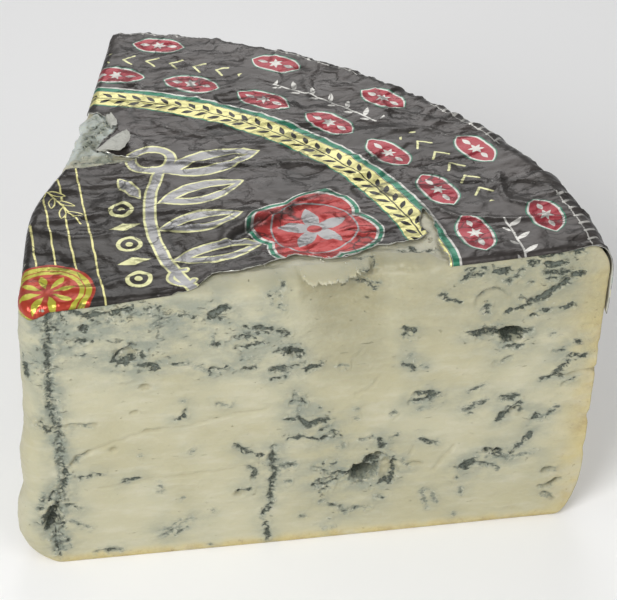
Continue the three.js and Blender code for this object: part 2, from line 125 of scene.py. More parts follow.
# Veins of the front face: half width, darkness, then the way along it as x, z, x, z and so on
VEINS = (
    # the needle channel near the tip
    (0.52, 1, 5.5, 84.5, 5.2, 80, 4.8, 75, 4.4, 70, 4.2, 66, 4, 61, 4.6, 57, 4.2, 54),
    (0.44, 0.95, 4.2, 54, 4.5, 50, 5.5, 47, 6, 42, 5.6, 38, 6.8, 33, 6.4, 29, 5.4, 26),
    (0.42, 0.9, 5.4, 26, 4.5, 22, 3.6, 19, 3, 16, 2.6, 13, 3.2, 10, 3, 6, 3.6, 2.5),
    (0.6, 0.3, 5.2, 84.5, 4.4, 74, 3.7, 66, 3.9, 56, 5.1, 44, 5.4, 30, 3, 19, 2.7, 4),
    (0.5, 0.25, 6.3, 84.5, 5.5, 74, 4.9, 66, 5.3, 56, 6.5, 44, 6.8, 30, 4.4, 19, 4.2, 5),
    (0.55, 1, 4.2, 62.5, 4, 59.5), (0.3, 0.8, 3.4, 66, 3.6, 63), (0.35, 0.7, 4.6, 73, 4.4, 69),
    (0.8, 0.1, 7, 84, 8, 80), (0.5, 0.9, 7.5, 83.5, 9.6, 80.5), (0.4, 0.7, 6.6, 79, 7.8, 76),
    (0.9, 1, 1.6, 13, 3, 18.5), (0.5, 0.9, 4.4, 22, 2, 17, 0.2, 15.6),
    (0.4, 0.8, 3.6, 20, 5.6, 16, 4.8, 12), (0.4, 0.8, 1.4, 22, 3.2, 25), (0.9, 0.55, -0.6, 20, 0.4, 24),
    (0.7, 0.5, 5.4, 10, 7, 6), (0.7, 0.95, 0.5, 17, 4, 15), (0.5, 0.9, 0.6, 49, 3.2, 46, 6.5, 47.4),
    (0.6, 0.8, 6, 21, 8, 20.3, 10, 19), (0.4, 0.5, 7, 15, 9.5, 13.5, 12, 12),
    (1.1, 0.8, -1.5, 64, -1.4, 66.5), (0.4, 0.6, -2, 67, -2, 70), (0.5, 0.5, 1.5, 68),
    (0.6, 0.6, 3, 79, 2.4, 79.4),
    # the upper band beside it
    (0.7, 0.85, 5, 84, 10, 84, 12, 83, 15, 81.5), (0.75, 0.9, 15, 81.5, 20, 81.5, 25, 82.3),
    (0.9, 1, 21.5, 82, 25, 82.4), (0.45, 0.9, 29, 82.3, 33, 82.4), (0.5, 0.8, 16, 80),
    (0.35, 0.7, 20, 79, 20.5, 81.5, 20.2, 84), (0.5, 0.6, 24, 79.5),
    (0.4, 0.7, 27, 81.3, 31, 80.4, 34, 79.4, 38, 79.5, 44, 79), (0.45, 0.6, 31, 77.2, 33.5, 78.2, 36, 79),
    (0.95, 1, 45.3, 78.6, 47, 79.6, 49.5, 81), (0.5, 0.8, 46, 77.8, 48.5, 78),
    (0.9, 0.9, 13.3, 77.3, 13.8, 77.8), (0.45, 0.7, 10, 76.5), (0.45, 0.7, 7.5, 75),
    (0.5, 0.85, 12, 74, 15, 73.5), (0.35, 0.6, 10, 72), (0.35, 0.6, 8, 72),
    (0.5, 0.6, 13, 69.5, 14.2, 69.8), (0.9, 0.8, 21, 67.3, 23, 69.5, 25, 70.8),
    (0.7, 0.85, 22, 66, 26, 67.5), (0.6, 0.8, 28.5, 67.6, 28, 69.5), (0.5, 0.9, 24, 66, 31, 64.3),
    (0.95, 1, 30, 64.5, 31.5, 64.2), (0.35, 0.65, 35, 65, 40, 64, 45, 62),
    (0.5, 0.85, 45, 62.2, 50.5, 62.2), (0.4, 0.7, 45.5, 60.4, 49, 61),
    # scattered spots of the lower left
    (0.55, 0.95, 36.5, 46.8, 38.5, 48, 38.3, 49.2), (0.45, 0.4, 38, 52.8),
    (0.35, 0.65, 47, 51, 49, 50.1, 51, 50), (0.4, 0.4, 26.5, 35.5), (0.65, 0.35, 40, 35.5),
    (0.38, 0.8, 11, 29.7, 14, 30.4, 17, 30), (0.42, 0.8, 22, 27.2, 26, 27.8),
    (0.4, 0.3, 31.5, 25, 31.5, 22), (0.4, 0.35, 31, 6, 35, 9, 40, 12), (0.3, 0.35, 32.6, 9.2, 36.4, 11.4),
    (0.3, 0.4, 35.4, 6.6, 38.6, 9.4), (0.7, 0.4, 13.5, 3, 19.5, 3.2), (0.5, 0.45, 46, 14),
    (0.35, 0.5, 45, 2), (0.35, 0.4, 37.5, 19),
    # by the torn skin
    (0.5, 0.95, 80.5, 85.5, 83.7, 84.1, 88.2, 81.9), (0.4, 0.85, 84.4, 86.2, 86.8, 87.2, 88.4, 87.6),
    (0.35, 0.6, 86, 83.6, 89, 83.2),
    # the upper middle
    (0.35, 0.75, 60, 83.5, 63, 84, 64.5, 86), (0.3, 0.7, 63.5, 84, 63.5, 79.5), (0.35, 0.6, 61.5, 81.5),
    (0.4, 0.5, 64, 79), (0.5, 0.85, 54, 75, 60, 74), (0.6, 0.9, 60, 74, 62, 72.8, 65.5, 71),
    (0.4, 0.8, 58, 72.6, 64, 72.3), (0.5, 0.95, 51.5, 72, 54, 72), (0.45, 0.9, 55, 71.3, 56.5, 71),
    (0.55, 0.85, 52, 68.5, 55, 68.3, 59, 69.5), (0.55, 0.85, 46, 70, 48, 69.8),
    (0.3, 0.6, 46, 72.5, 46.3, 71), (0.6, 0.85, 62, 66.3, 66, 67), (1.4, 1, 65.8, 65.6, 68.5, 65),
    (0.4, 0.7, 56.5, 65), (0.35, 0.7, 58, 64), (0.35, 0.7, 54, 65), (0.5, 0.85, 54, 61.5, 57, 61.7),
    (0.75, 0.95, 61, 60.5, 64.5, 60.8), (0.42, 0.85, 65, 60.8, 69.5, 61.3),
    (0.55, 0.6, 62, 57.8, 65, 58.2), (0.75, 0.95, 71, 59.5, 74.5, 60.4), (0.5, 0.35, 79, 59, 81, 59.3),
    # the middle
    (0.55, 0.75, 67.3, 51.3, 68, 51), (0.6, 0.75, 66.5, 49.3, 69.5, 48.5),
    (0.4, 0.7, 69.5, 50.5, 70.5, 48.3), (0.42, 0.5, 68.5, 46.5), (0.42, 0.5, 74, 46.5),
    (0.65, 0.95, 66, 43.3, 69, 44, 70, 42.5), (0.95, 1, 70, 42.5, 71, 41.2, 73, 41.5),
    (0.55, 0.9, 73.5, 42.2, 76.5, 42.5), (0.55, 0.8, 75.2, 39.3, 76.5, 39.4),
    (0.6, 0.9, 66, 37, 70, 37.2, 74, 36), (0.65, 0.85, 74, 36, 79, 37), (0.4, 0.85, 78, 38, 79.7, 36.5),
    (0.5, 0.65, 80.5, 33, 81, 33.4), (0.65, 0.95, 52.5, 35.7, 55, 33.7, 58.8, 31.8),
    (0.4, 0.9, 53, 20.3, 56, 20.5), (0.5, 0.8, 55, 28.5, 57, 27.5, 57.3, 25.5, 56.7, 23.7),
    # the second needle channel
    (0.85, 0.65, 62.2, 34.5, 62, 31, 61.5, 28, 62.8, 25.5, 61.5, 22, 61.5, 18),
    (0.75, 0.7, 61.5, 18, 61.8, 15.5, 60, 12.5, 59.5, 10.8), (1.3, 0.5, 62, 31.5, 62.2, 30),
    (0.75, 0.85, 60.3, 7.5, 60.7, 3.2), (0.5, 0.7, 60.5, 1.5), (0.85, 0.3, 64, 27.5, 67, 27.8),
    (0.9, 0.22, 66, 21.5),
    # round the big opening
    (0.5, 0.5, 84.5, 45), (0.4, 0.5, 84.3, 41.8), (0.5, 0.45, 94.5, 42.5), (0.55, 1, 79, 23.6, 83, 23.2),
    (2.7, -0.2, 85.3, 22.1, 89, 23.3), (0.45, 1, 82.5, 23.6, 85.5, 25.2, 88, 26, 91, 25.4),
    (1, 0.8, 87.5, 27.4, 91.5, 28.2), (0.55, 0.95, 95, 27, 96, 22, 95, 19, 92, 19),
    (0.5, 0.75, 73.5, 26, 79, 23.5), (0.6, 0.75, 73.5, 19.6, 78, 20.5, 80.5, 22.8),
    (0.45, 0.7, 74.6, 21.6, 78.6, 22.4), (0.65, 0.75, 75.6, 18, 77, 19), (0.5, 0.4, 98, 25.5, 100, 23),
    (0.45, 0.85, 76, 27), (0.45, 0.85, 79, 27), (0.5, 0.65, 86, 34.5, 89, 34.8),
    (0.6, 0.9, 91, 34, 92, 31.5), (0.4, 0.65, 94, 34.5, 96, 35), (0.6, 0.75, 86, 19, 87, 19),
    (0.42, 0.8, 89.3, 17.5), (0.42, 0.6, 75.5, 14, 79, 12, 81, 10.5, 84, 10, 89, 10),
    (0.7, 0.45, 81, 11, 82.5, 9), (0.42, 0.6, 78, 7), (0.42, 0.6, 76.5, 4), (0.42, 0.6, 79, 4),
    (0.42, 0.65, 91, 13.7, 93, 13.5), (0.35, 0.6, 70, 9.5, 71, 9.3),
    # the right middle
    (0.45, 0.9, 96, 67, 96.5, 70, 99, 69.5, 98.6, 67.2, 96, 67), (0.5, 0.55, 98.3, 61),
    (0.65, 0.9, 96.5, 59, 98, 57.8, 99.7, 57.4), (0.38, 0.7, 101, 57.5, 102.5, 57.3),
    (0.42, 1, 100, 48.5, 104, 48.8, 107, 47.7), (0.7, 0.95, 99.4, 46, 101.5, 46.7),
    (0.75, 0.9, 103.2, 47, 105.6, 48), (0.38, 0.6, 101.5, 43.8, 104, 43.8),
    (0.55, 0.75, 102.5, 33, 105, 31.5, 107, 31), (0.42, 0.6, 114.5, 48, 119, 49.7),
    (0.42, 0.65, 115, 42, 119.5, 44.3), (0.65, 0.6, 113.5, 42, 115.5, 40.3),
    (0.95, 0.75, 124.5, 44.6, 128.5, 44.7), (0.5, 0.75, 129, 42.3, 129.6, 42.6),
    (0.8, 1, 124, 37.5, 125, 39, 127.5, 40.3, 129.5, 40.4),
    # the upper right
    (0.5, 0.85, 105, 80, 108, 78.5, 110.5, 77.3), (0.55, 0.85, 111, 87, 112.5, 87),
    (0.5, 0.85, 110.5, 84, 112, 85.7, 115.5, 85.4), (0.45, 0.8, 115, 87.7, 117, 87.5),
    (0.85, 1, 118.5, 86, 122, 86.4), (0.8, 0.6, 122.5, 83, 125, 85, 126, 86),
    (0.6, 0.85, 128, 88, 130, 87.7), (0.6, 0.95, 132, 87.3, 137, 87), (0.6, 0.95, 129, 90, 136, 90),
    (0.7, 0.95, 140, 90.3, 142, 90.3), (0.7, 0.95, 132, 84.7, 135, 84.7),
    (0.6, 0.85, 136, 84.2, 138, 84.3), (0.85, 1, 140, 83.3, 142.5, 83.6),
    (0.6, 0.85, 133.2, 82.5, 134.4, 82.3), (0.42, 0.7, 128, 82, 129, 81.6),
    (0.9, 0.95, 138, 81.5, 135, 79, 132, 77, 129, 76), (0.5, 0.85, 126.3, 77.3, 128, 76.4),
    (0.55, 0.95, 123.5, 73, 126, 73.8, 130, 75), (0.6, 0.9, 116.4, 73.8, 117.5, 75.2, 117.7, 73.4),
    (0.65, 0.85, 129.6, 71, 131, 71.3), (0.42, 0.8, 132, 72.5, 135, 73), (0.8, 1, 137.4, 73, 140.3, 73.6),
    (2.1, 1, 123.6, 65.5, 126.6, 65.8), (0.7, 0.95, 114, 66.6, 118, 67, 122, 66),
    (0.6, 0.9, 117.6, 68.3, 121, 68), (0.45, 0.85, 115.6, 65.2, 116.8, 67.4),
    (0.5, 0.85, 128, 66, 130, 66.6), (0.65, 0.7, 123, 61.8, 128, 62), (0.4, 0.8, 121.5, 57, 125.5, 58.2),
    (0.5, 0.7, 136, 64.7, 137.5, 65), (0.6, 0.65, 137, 59.3, 140, 59.3),
    (0.65, 0.85, 143, 61.8, 143.9, 61.9), (0.38, 0.95, 141.5, 57, 146, 57.4),
    # the right edge and the lower right
    (0.65, 1, 141.5, 56, 140.5, 54, 139, 53, 138, 51.5, 140.5, 50.5), (0.5, 0.85, 134.6, 50, 137, 50.5),
    (0.42, 0.85, 140.5, 48, 141.5, 48.5, 144, 49.3), (0.5, 0.6, 140, 39.5, 138, 37.5, 136, 36.5),
    (0.75, 0.95, 134, 36.5, 134.8, 37.8), (0.6, 1, 133.5, 31.7, 131, 28.2, 128.5, 25.6),
    (0.75, 1, 121.4, 26.8, 122.2, 26.8), (0.75, 1, 124, 26.4, 124.7, 26.3),
    (0.5, 0.4, 121, 24.5, 130, 24, 135.5, 25.5), (1.3, 0.8, 115, 22.2, 118, 23.5),
    (0.6, 0.65, 118, 23, 122, 22, 125, 20.3), (0.4, 0.3, 104, 15, 105, 10, 106, 8),
    (0.4, 0.25, 104, 15, 106.5, 14, 108, 10), (0.65, 0.3, 115, 14, 115, 12.5), (0.42, 0.45, 113.5, 4.5),
    (0.45, 0.5, 113.5, 18), (0.4, 0.7, 138.2, 17.9, 141.4, 17.9),
    # a painted shadow under the round dent's upper edge
    (0.4, 0.25, 115.1, 78.6, 116.6, 80.1, 118.6, 80.7, 120.6, 80.1, 122, 78.8),
    (0.25, 0.45, 139.2, 9.6, 141, 8, 142, 7), (0.22, 0.45, 138.6, 12.1, 140.6, 11.9, 142.8, 13.8),
    (0.2, 0.35, 9, 34.8, 12, 37.2), (0.2, 0.35, 9, 47.6, 14, 47),
)

# Soft blue-grey clouds of the front face, in the same form
CLOUDS = (
    (3.4, 0.85, 5, 82, 14, 79, 24, 80, 44, 80), (4.8, 0.85, 8, 75, 16, 73, 26, 69),
    (3, 0.5, 28, 74, 40, 74, 52, 76), (2, 0.3, 75, 80, 77, 73),
    (0.8, 1.9, 5.4, 84, 4.5, 66, 4.6, 52, 6, 40, 5.8, 30, 4.2, 20, 3.4, 5),
    (2.6, 0.25, 4.5, 60, 4.5, 44, 6, 30, 4, 10), (3, 0.18, 28, 66, 44, 62, 56, 62),
    (3.6, 0.24, 54, 72, 64, 70, 66, 60), (3, 0.25, 68, 48, 72, 42, 76, 37),
    (4, 0.28, 74, 22, 86, 20, 94, 24), (3, 0.15, 80, 10, 92, 12), (2, 0.2, 63, 28, 67, 25),
    (4, 0.25, 110, 82, 124, 84, 138, 84), (3, 0.22, 124, 74, 136, 78), (3.5, 0.24, 116, 66, 128, 63),
    (3.6, 0.3, 114, 20, 124, 22, 136, 27, 138, 36), (2.2, 0.25, 126, 42, 126, 38),
    (2, 0.2, 102, 47, 116, 45), (2.4, 0.22, 139, 52, 140, 60), (1.8, 0.2, 98, 60, 98, 68),
    (2.6, 0.42, 32, 8, 39, 11),
)

# Cracks and small yellowish pits: half width, depth, and the way along
CRACKS = (
    (0.45, 0.8, 8, 47.8, 12, 47.3, 15.5, 47), (0.7, 1.1, 8.6, 34.5, 10.5, 36.5, 13, 38),
    (0.5, 0.7, 28, 43.4, 32, 43.7), (0.4, 0.35, 13, 38, 20, 40.5, 28, 43.2, 40, 44.5, 52, 47, 60, 47.6),
    (0.45, 0.8, 25, 50, 26, 50.2), (0.4, 0.4, 101, 30, 100, 27.5), (0.6, 0.8, 99.5, 24, 103, 24.2),
    (0.6, 0.35, 107, 22, 110, 26, 112, 29), (0.5, 0.5, 144.3, 66.3, 146.3, 66.7),
    (0.45, 1.1, 139, 9.8, 141, 8.2, 142.4, 6.8), (0.45, 1.1, 138, 12.3, 140.4, 12, 143.4, 14.4),
    (0.4, 0.7, 139.5, 50.6, 144, 51.4, 149.4, 52), (0.22, 0.7, 86, 85.4, 90, 86.4, 95, 87.3, 98, 87.4),
    (0.4, 0.3, 84, 50, 88, 52, 90, 54.5), (0.4, 0.25, 83, 61, 85.5, 63.5),
    (0.4, 0.3, 15, 25.5, 28, 26.8, 44, 27.6, 58, 29.2), (0.4, 0.25, 22, 59.5, 27, 59.8),
    (0.4, 0.25, 94.5, 40.2, 96.5, 42.2),
)

# Veins of the bare ledge and of the torn patch on the top: half width, darkness, then x, y and so on
TOP_VEINS = (
    (0.4, 0.9, 95.7, 9.1, 97.6, 6.9, 98.7, 9.6, 99.4, 8.1, 101.3, 6, 102.5, 6.8, 104.9, 7.9),
    (0.9, 0.8, 57.5, 3.5, 60, 4.6, 62.6, 5.6), (0.5, 0.8, 58, 1.6, 60.5, 2.4),
    (0.5, 0.75, 84, 7.2, 88.5, 8.2), (0.35, 0.8, 95, 5.6, 97, 4.4, 100, 5), (0.35, 0.6, 71, 5.4),
    (0.4, 0.6, 91.6, 3.4, 92.2, 3), (0.5, 0.5, 49, 3.4, 52, 4.6),
    (0.38, 0.6, 14.6, 64.6, 18.6, 65.4, 22.6, 66.4), (0.25, 0.6, 17, 67.4, 19.8, 68.6, 21, 70.4),
    (0.42, 0.65, 17.8, 71, 20.4, 74.6, 22, 77.6), (0.2, 0.5, 16.6, 74, 20.2, 75.4, 24, 75.4),
    (0.42, 0.65, 18.8, 78, 22.6, 80, 24.4, 82), (0.42, 0.65, 20, 82.6, 22.8, 84.6, 25.4, 86),
    (0.2, 0.5, 20.4, 87.6, 23.2, 88.8), (0.3, 0.6, 24, 65.4, 27.6, 65.4, 30.6, 65),
    (0.2, 0.5, 15.6, 70.4, 16.6, 73.6),
)

# Grey streaks of the torn patch, in the same form
TOP_CLOUDS = (
    (0.5, 1.5, 14.6, 63.6, 19, 64.8, 23, 66.2), (0.45, 1.35, 16.6, 66.4, 20.4, 69.8, 22.6, 72.6),
    (0.5, 1.65, 16, 70.2, 19.6, 73.2, 22.6, 77.6), (0.4, 1.2, 18.6, 71.6, 21.6, 74.8),
    (0.5, 1.65, 17.4, 75.2, 21, 79.2, 24.6, 81.4), (0.45, 1.5, 18.4, 79.8, 22, 83.2, 26, 84.8),
    (0.4, 1.5, 19.6, 84.4, 23, 86.4), (0.4, 1.35, 20.6, 88, 23, 89.4),
    (0.45, 1.5, 22, 65.6, 27, 65.9, 32, 65.2),
)

# Where the paste has crumbled: half width, roughness, and the way along
CRUMBLES = (
    (1.3, 0.5, 5.4, 84, 4.6, 72, 4.2, 60, 4.8, 50), (2.4, 0.9, 1, 49, 4.2, 46.5, 7, 47),
    (1.3, 0.6, 6, 44, 6.6, 33, 5.6, 26), (3, 1.3, 5, 25, 3.2, 18, 2.8, 11), (1.6, 0.8, 3, 10, 3.6, 3),
    (1.6, 0.5, 62, 34, 61.6, 18, 60, 11), (3, 0.7, 76, 19.5, 84, 22.5, 92, 27, 96, 22),
    (2, 0.5, 118, 67, 127, 66),
)

# The value where no vein is near, how much narrower a pale vein's core is, how far its cloud reaches,
# and how deep it is
VEIN_FAR = -6.0
CORE_LOSS = 1.3
HALO_REACH = 2.9
VEIN_DEPTH = 0.5

# Scale of the bumps on the crumbs
CRUMB_NOISE_SCALE = 1400.0

# Where the top is bare, in plan: the torn patch, the slit beside it,
# and the width of the front ledge along x
TORN_PATCH = (17, 66, 19, 74, 22, 84, 22, 91)
TORN_SLIT = (20, 66.6, 33, 65)
LEDGE_PLACES = (34, 40, 47, 62, 68, 81, 90, 104, 107.5, 110)
LEDGE_WIDTHS = (-1, 1.5, 7.5, 9, 12, 8.5, 13, 28, 28, -1)

# Torn edges of the foil in plan: the bare stretch of the front, the tear that runs back from it,
# the gap in the left side
BARE_EDGE = (
    (36, 0.2), (40, 0.8), (42.6, 1.6), (44.4, 3.6), (46.8, 6.2), (50, 6.6), (53.4, 6.2), (56, 7.4),
    (60, 7.6), (62.6, 8.6), (65.6, 9.4), (68.4, 10.8), (71, 10), (74, 9.2), (77.6, 7.6), (81, 7),
    (84.4, 8.4), (87, 9.6), (90, 11.2), (93.2, 10.6), (96.1, 11.4), (98.1, 11.4), (100.6, 11.8),
    (102.6, 12.9),
)
RIGHT_TEAR = (
    (104.3, 14.1), (103.1, 18.1), (103.7, 21.6), (104.5, 24.3), (105.5, 26.5), (105.9, 25.1),
    (106.7, 23.2), (107, 20.8), (106.7, 16.7), (106.5, 14), (105.7, 10.4), (106, 5.9), (106.7, 3.2),
    (106.5, 0.2),
)
LEFT_TEAR = (
    (20.6, 94), (21.8, 91.3), (23.6, 91.7), (24.9, 89.7), (26, 88.4), (27.4, 88.5), (28.3, 85.1),
    (28.2, 82), (26.2, 78.6), (24.2, 76), (22.4, 73.2), (21.5, 71.3), (23.6, 69.9), (25.5, 68.5),
    (28.2, 67), (30.9, 66.1), (33.2, 65.3), (32.1, 64.3), (30.2, 64), (26.6, 63.8), (21.8, 63.3),
    (17.1, 62.5), (12.9, 62.3),
)

# Flaps folded back over the sheet: fold line and free edge in plan
FLAPS = (
    (
        ((21.7, 70), (23.2, 72.6), (25, 75), (27, 77), (29.4, 78.6)),
        ((22.8, 69), (27.2, 67.1), (30.6, 70.2), (31.9, 74.6), (31, 78.4)),
    ),
    (
        ((25.6, 88.3), (26, 86.4), (26.4, 84.6), (26.9, 82.6)),
        ((27.2, 88), (27.9, 86.2), (28.5, 84.2), (28.6, 82)),
    ),
)

# Long creases of the foil: height, half width, and the way along in plan
CREASES = (
    (0.9, 0.9, 32.2, 65.5, 41.7, 63, 51.2, 59.9, 63.3, 56.7, 74.5, 56.3, 83.7, 53),
    (0.6, 0.8, 21, 42.5, 28.7, 38.3, 41.9, 37.6, 51.4, 38.3),
    (0.8, 1, 38.4, 28.5, 50.3, 29.2, 58.2, 28.7, 65.4, 32.3, 73.7, 34.2, 82.2, 36.1),
    (0.5, 0.7, 10.9, 52.2, 21.5, 49.3, 34.9, 48.7),
    (0.6, 0.8, 6.1, 32.8, 17.6, 29.3, 33.2, 28.5, 46.3, 29),
    (0.7, 0.6, 27.8, 54.8, 28.8, 49.6, 26.9, 42.5),
    (1.1, 1.3, 60.4, 25.4, 66.2, 29.1, 74.1, 36.6, 82.9, 40.1),
    (0.5, 0.7, 50.7, 95, 63.4, 102, 70.1, 107.1),
    (0.8, 0.8, 105.4, 91.9, 106, 79.8, 117.6, 71.8, 125.4, 67.4),
    (0.9, 0.8, 129.2, 38.9, 127.9, 28.6, 129.1, 25.8, 133.6, 22.3),
    (0.7, 0.8, 102.4, 68.9, 113.8, 67.9, 121.3, 62.5), (0.6, 0.9, 84.9, 123.9, 85.4, 107.7, 86, 92.3),
    (0.6, 0.8, 28.4, 110.1, 42.6, 102.1, 60.5, 102.5), (0.6, 0.8, 112, 44, 120, 38, 131, 36, 142, 30),
    (0.7, 0.8, 109, 26, 114, 20, 124, 17, 137, 16), (0.5, 0.7, 60, 78, 72, 80, 84, 76),
    (0.6, 0.8, 40, 84, 48, 76, 58, 72),
)

# Painted shadows beside the foil's folds, where the foil also dips: half width and the way along
SHADOWS = (
    (1.5, 55, 22.4, 58.6, 25.4, 62.4, 28.6), (0.5, 62.4, 28.6, 66, 30.4, 70, 31.2),
    (0.5, 84, 19.5, 92, 17.6, 97, 17), (0.45, 86, 14, 93, 12.6, 98.6, 12.8),
    (0.4, 50, 19.6, 54, 21, 56, 22.4), (0.5, 106.8, 23.6, 105.9, 27, 105.2, 30),
)

# The far corner of the top, which has sunk a little
FAR_CORNER = LEFT_WAY * WHEEL_RADIUS
CORNER_SAG, CORNER_SPREAD = 2.3, 9.0

# The foil: how far it lies off the cheese, and how far it stands off the rim at the front; the height
# and the waves of its lower edge; the crinkles' turn; and the points across a flap
FOIL_GAP, RIM_STAND_OFF = 0.3, 1.3
SKIRT_BOTTOM, SKIRT_WAVE, SKIRT_WAVES = 66, 4.5, 9
CRINKLE_TURN = 9 * DEGREE
FLAP_ROWS = 22

# The camera: its place in frame millimetres, its three ways, its lens and sensor in millimetres,
# and the nearest distance it sees in metres
CAMERA_PLACE = (-64.580, -421.358, 323.314)
CAMERA_ACROSS = (0.98652102, -0.16212188, 0.0221987)
CAMERA_UP = (0.07330312, 0.55913161, 0.825832)
CAMERA_FORWARD = (0.14629743, 0.81307339, -0.56347913)
CAMERA_LENS, CAMERA_SENSOR, CAMERA_NEAR = 99.19, 36, 0.01

# The lights: name, place, the height aimed at, and width, in metres
LIGHTS = (
    ("key", (-0.5, -0.6, 0.55), 0.04, 0.45),
    ("fill", (0.6, -0.8, 0.4), 0.04, 0.9),
    ("back", (0.1, 0.75, 0.7), 0.05, 0.6),
)

# A vector input's value when none is given
ORIGIN = (0, 0, 0)


def linear(red, green, blue):
    """The linear colour of screen values from 0 to 255."""
    values = np.array([red, green, blue]) / 255
    low, high = values / 12.92, ((values + 0.055) / 1.055) ** 2.4
    return tuple(float(v) for v in np.where(values <= 0.04045, low, high))


def clamp01(value):
    return np.clip(value, 0, 1)


def ramp(start, end, value):
    """0 up to start, 1 from end, and smooth between them."""
    t = clamp01((value - start) / (end - start))
    return t * t * (3 - 2 * t)


def fade(start, end, value):
    """1 up to start, 0 from end."""
    return 1 - ramp(start, end, value)


def mix(a, b, t):
    return a + (b - a) * t


# Noise over points in space, for relief


def hashed(cells, seed):
    """A number from -1 to 1 for each whole-numbered cell."""
    mask = 0xFFFFFFFF
    mixed = (cells[..., 0] * 374761393 + cells[..., 1] * 668265263) & mask
    mixed = (mixed + cells[..., 2] * 982451653 + seed * 974634777) & mask
    mixed ^= mixed >> 13
    mixed = (mixed * 1274126177) & mask
    mixed ^= mixed >> 16
    return mixed / 2**31 - 1


def cell_noise(points, seed):
    """Smooth noise from -1 to 1, with cells of one unit."""
    cells = np.floor(points).astype(np.int64)
    t = points - cells
    t = t * t * t * (t * (t * 6 - 15) + 10)
    total = 0.0
    for corner in np.ndindex(2, 2, 2):
        weight = np.prod(np.where(corner, t, 1 - t), axis=-1)
        total = total + weight * hashed(cells + corner, seed)
    return total


def fractal(points, size, seed, octaves=3):
    """Noise with finer and finer detail. Size is one cell's, as a number or for each axis."""
    points = points / np.asarray(size, float)
    total, strength, whole = 0.0, 1.0, 0.0
    for octave in range(octaves):
        total = total + strength * cell_noise(points * 2**octave, seed + octave)
        whole += strength
        strength *= 0.5
    return total / whole


def flat_points(x, y):
    """Points in space from two coordinates, for the noise."""
    x, y = np.broadcast_arrays(x, y)
    return np.stack([x, y, np.zeros_like(x)], -1).astype(float)


def flat_noise(x, y, size, seed, octaves=3):
    return fractal(flat_points(x, y), size, seed, octaves)


def polar(angle, reach=1.0):
    """Plan points at an angle and a distance from the origin."""
    return np.stack([np.cos(angle) * reach, np.sin(angle) * reach], -1)


def with_height(plan, z):
    """Points in space from points in plan and their heights."""
    return np.concatenate([plan, np.broadcast_to(z, plan.shape[:-1])[..., None]], -1)


# The wedge's form


def top_height(radius):
    return mix(TOP_AT_TIP, TOP_AT_RIM, clamp01(radius / WHEEL_RADIUS))


def left_belly(radius, z):
    """How far the left face stands out of the flat cut."""
    spread = np.where(radius < BELLY_RADIUS, BELLY_TOWARD_TIP, BELLY_TOWARD_RIM)
    belly = BELLY_DEPTH * np.exp(-(((radius - BELLY_RADIUS) / spread) ** 2))
    slump = np.interp(z, SLUMP_HEIGHTS, SLUMP_REACHES)
    return belly + slump * np.exp(-((radius / TIP_REACH) ** 2))


def edge_inset(inward, along, distance):
    """How far an elliptical edge has pulled a wall inwards, at a distance from the end of the wall."""
    short = clamp01((along - distance) / along)
    return inward * (1 - np.sqrt(1 - short**2))


def rim_pull(radius, z, top):
    share = ramp(WHEEL_RADIUS - RIM_GIVE, WHEEL_RADIUS, radius)
    return share * (edge_inset(*RIM_HEEL, z) + edge_inset(*RIM_SHOULDER, top - z))


def fillet_centre(z):
    return (TIP_FILLET * (1 + LEFT_WAY[0]) - left_belly(TIP_FILLET, z)) / -LEFT_OUT[0]


def path_distance(x, y, path):
    """Distance from each point to a path of one or more points, given as pairs or as plain numbers."""
    path = np.reshape(path, (-1, 2)).astype(float)
    if len(path) == 1:
        return np.hypot(x - path[0][0], y - path[0][1])
    nearest = np.full(np.shape(x), np.inf)
    for (ax, ay), (bx, by) in zip(path[:-1], path[1:]):
        t = clamp01(((x - ax) * (bx - ax) + (y - ay) * (by - ay)) / ((bx - ax) ** 2 + (by - ay) ** 2))
        nearest = np.minimum(nearest, np.hypot(x - mix(ax, bx, t), y - mix(ay, by, t)))
    return nearest


class Marks:
    """What is drawn on the cheese: how far inside a vein and its core a point is, and how clouded."""

    def __init__(self, shape):
        self.vein = np.full(shape, VEIN_FAR)
        self.core = np.full(shape, VEIN_FAR)
        self.cloud = np.zeros(shape)

    def draw(self, x, y, strokes):
        """Draws strokes given as half width, darkness and a path, at points x, y."""
        for half, dark, *path in strokes:
            ends = np.reshape(path, (-1, 2))
            margin = half + 3 * HALO_REACH
            low, high = ends.min(0) - margin, ends.max(0) + margin
            near = (x > low[0]) & (x < high[0]) & (y > low[1]) & (y < high[1])
            if not near.any():
                continue
            away = path_distance(x[near], y[near], path) - half
            self.vein[near] = np.maximum(self.vein[near], -away)
            self.core[near] = np.maximum(self.core[near], -away - CORE_LOSS * (1 - dark))
            halo = np.exp(-((np.maximum(away, 0) / HALO_REACH) ** 2))
            self.cloud[near] += max(dark, 0.4) * (0.35 + 0.3 * half) * halo

    def add_clouds(self, x, y, strokes):
        for half, dark, *path in strokes:
            away = path_distance(x, y, path)
            self.cloud += 1.3 * dark * np.exp(-((away / (2 * half)) ** 2))

    def fields(self):
        vein, core = (np.clip(values, VEIN_FAR, 3) for values in (self.vein, self.core))
        return {"vein": vein, "core": core, "cloud": 1 - np.exp(-self.cloud)}


def wandering(x, z, seed):
    """Places along a face, shifted a little at random so that what is drawn there isn't smooth."""
    return x + 0.55 * flat_noise(x, z, 2.6, seed, 2), z + 0.42 * flat_noise(x, z, 2.2, seed + 7, 2)


def scoop_share(x, z):
    """1 where the scoop is deepest, by its steep left side, fading to the right and downwards."""
    wave = x + 0.5 * np.sin(z / 4.5) + 0.25 * np.sin(z / 1.7)
    left = ramp(SCOOP_LEFT, SCOOP_FULL, wave)
    return left * fade(SCOOP_FADE, SCOOP_RIGHT, x) * ramp(SCOOP_BOTTOM, SCOOP_TOP, z)


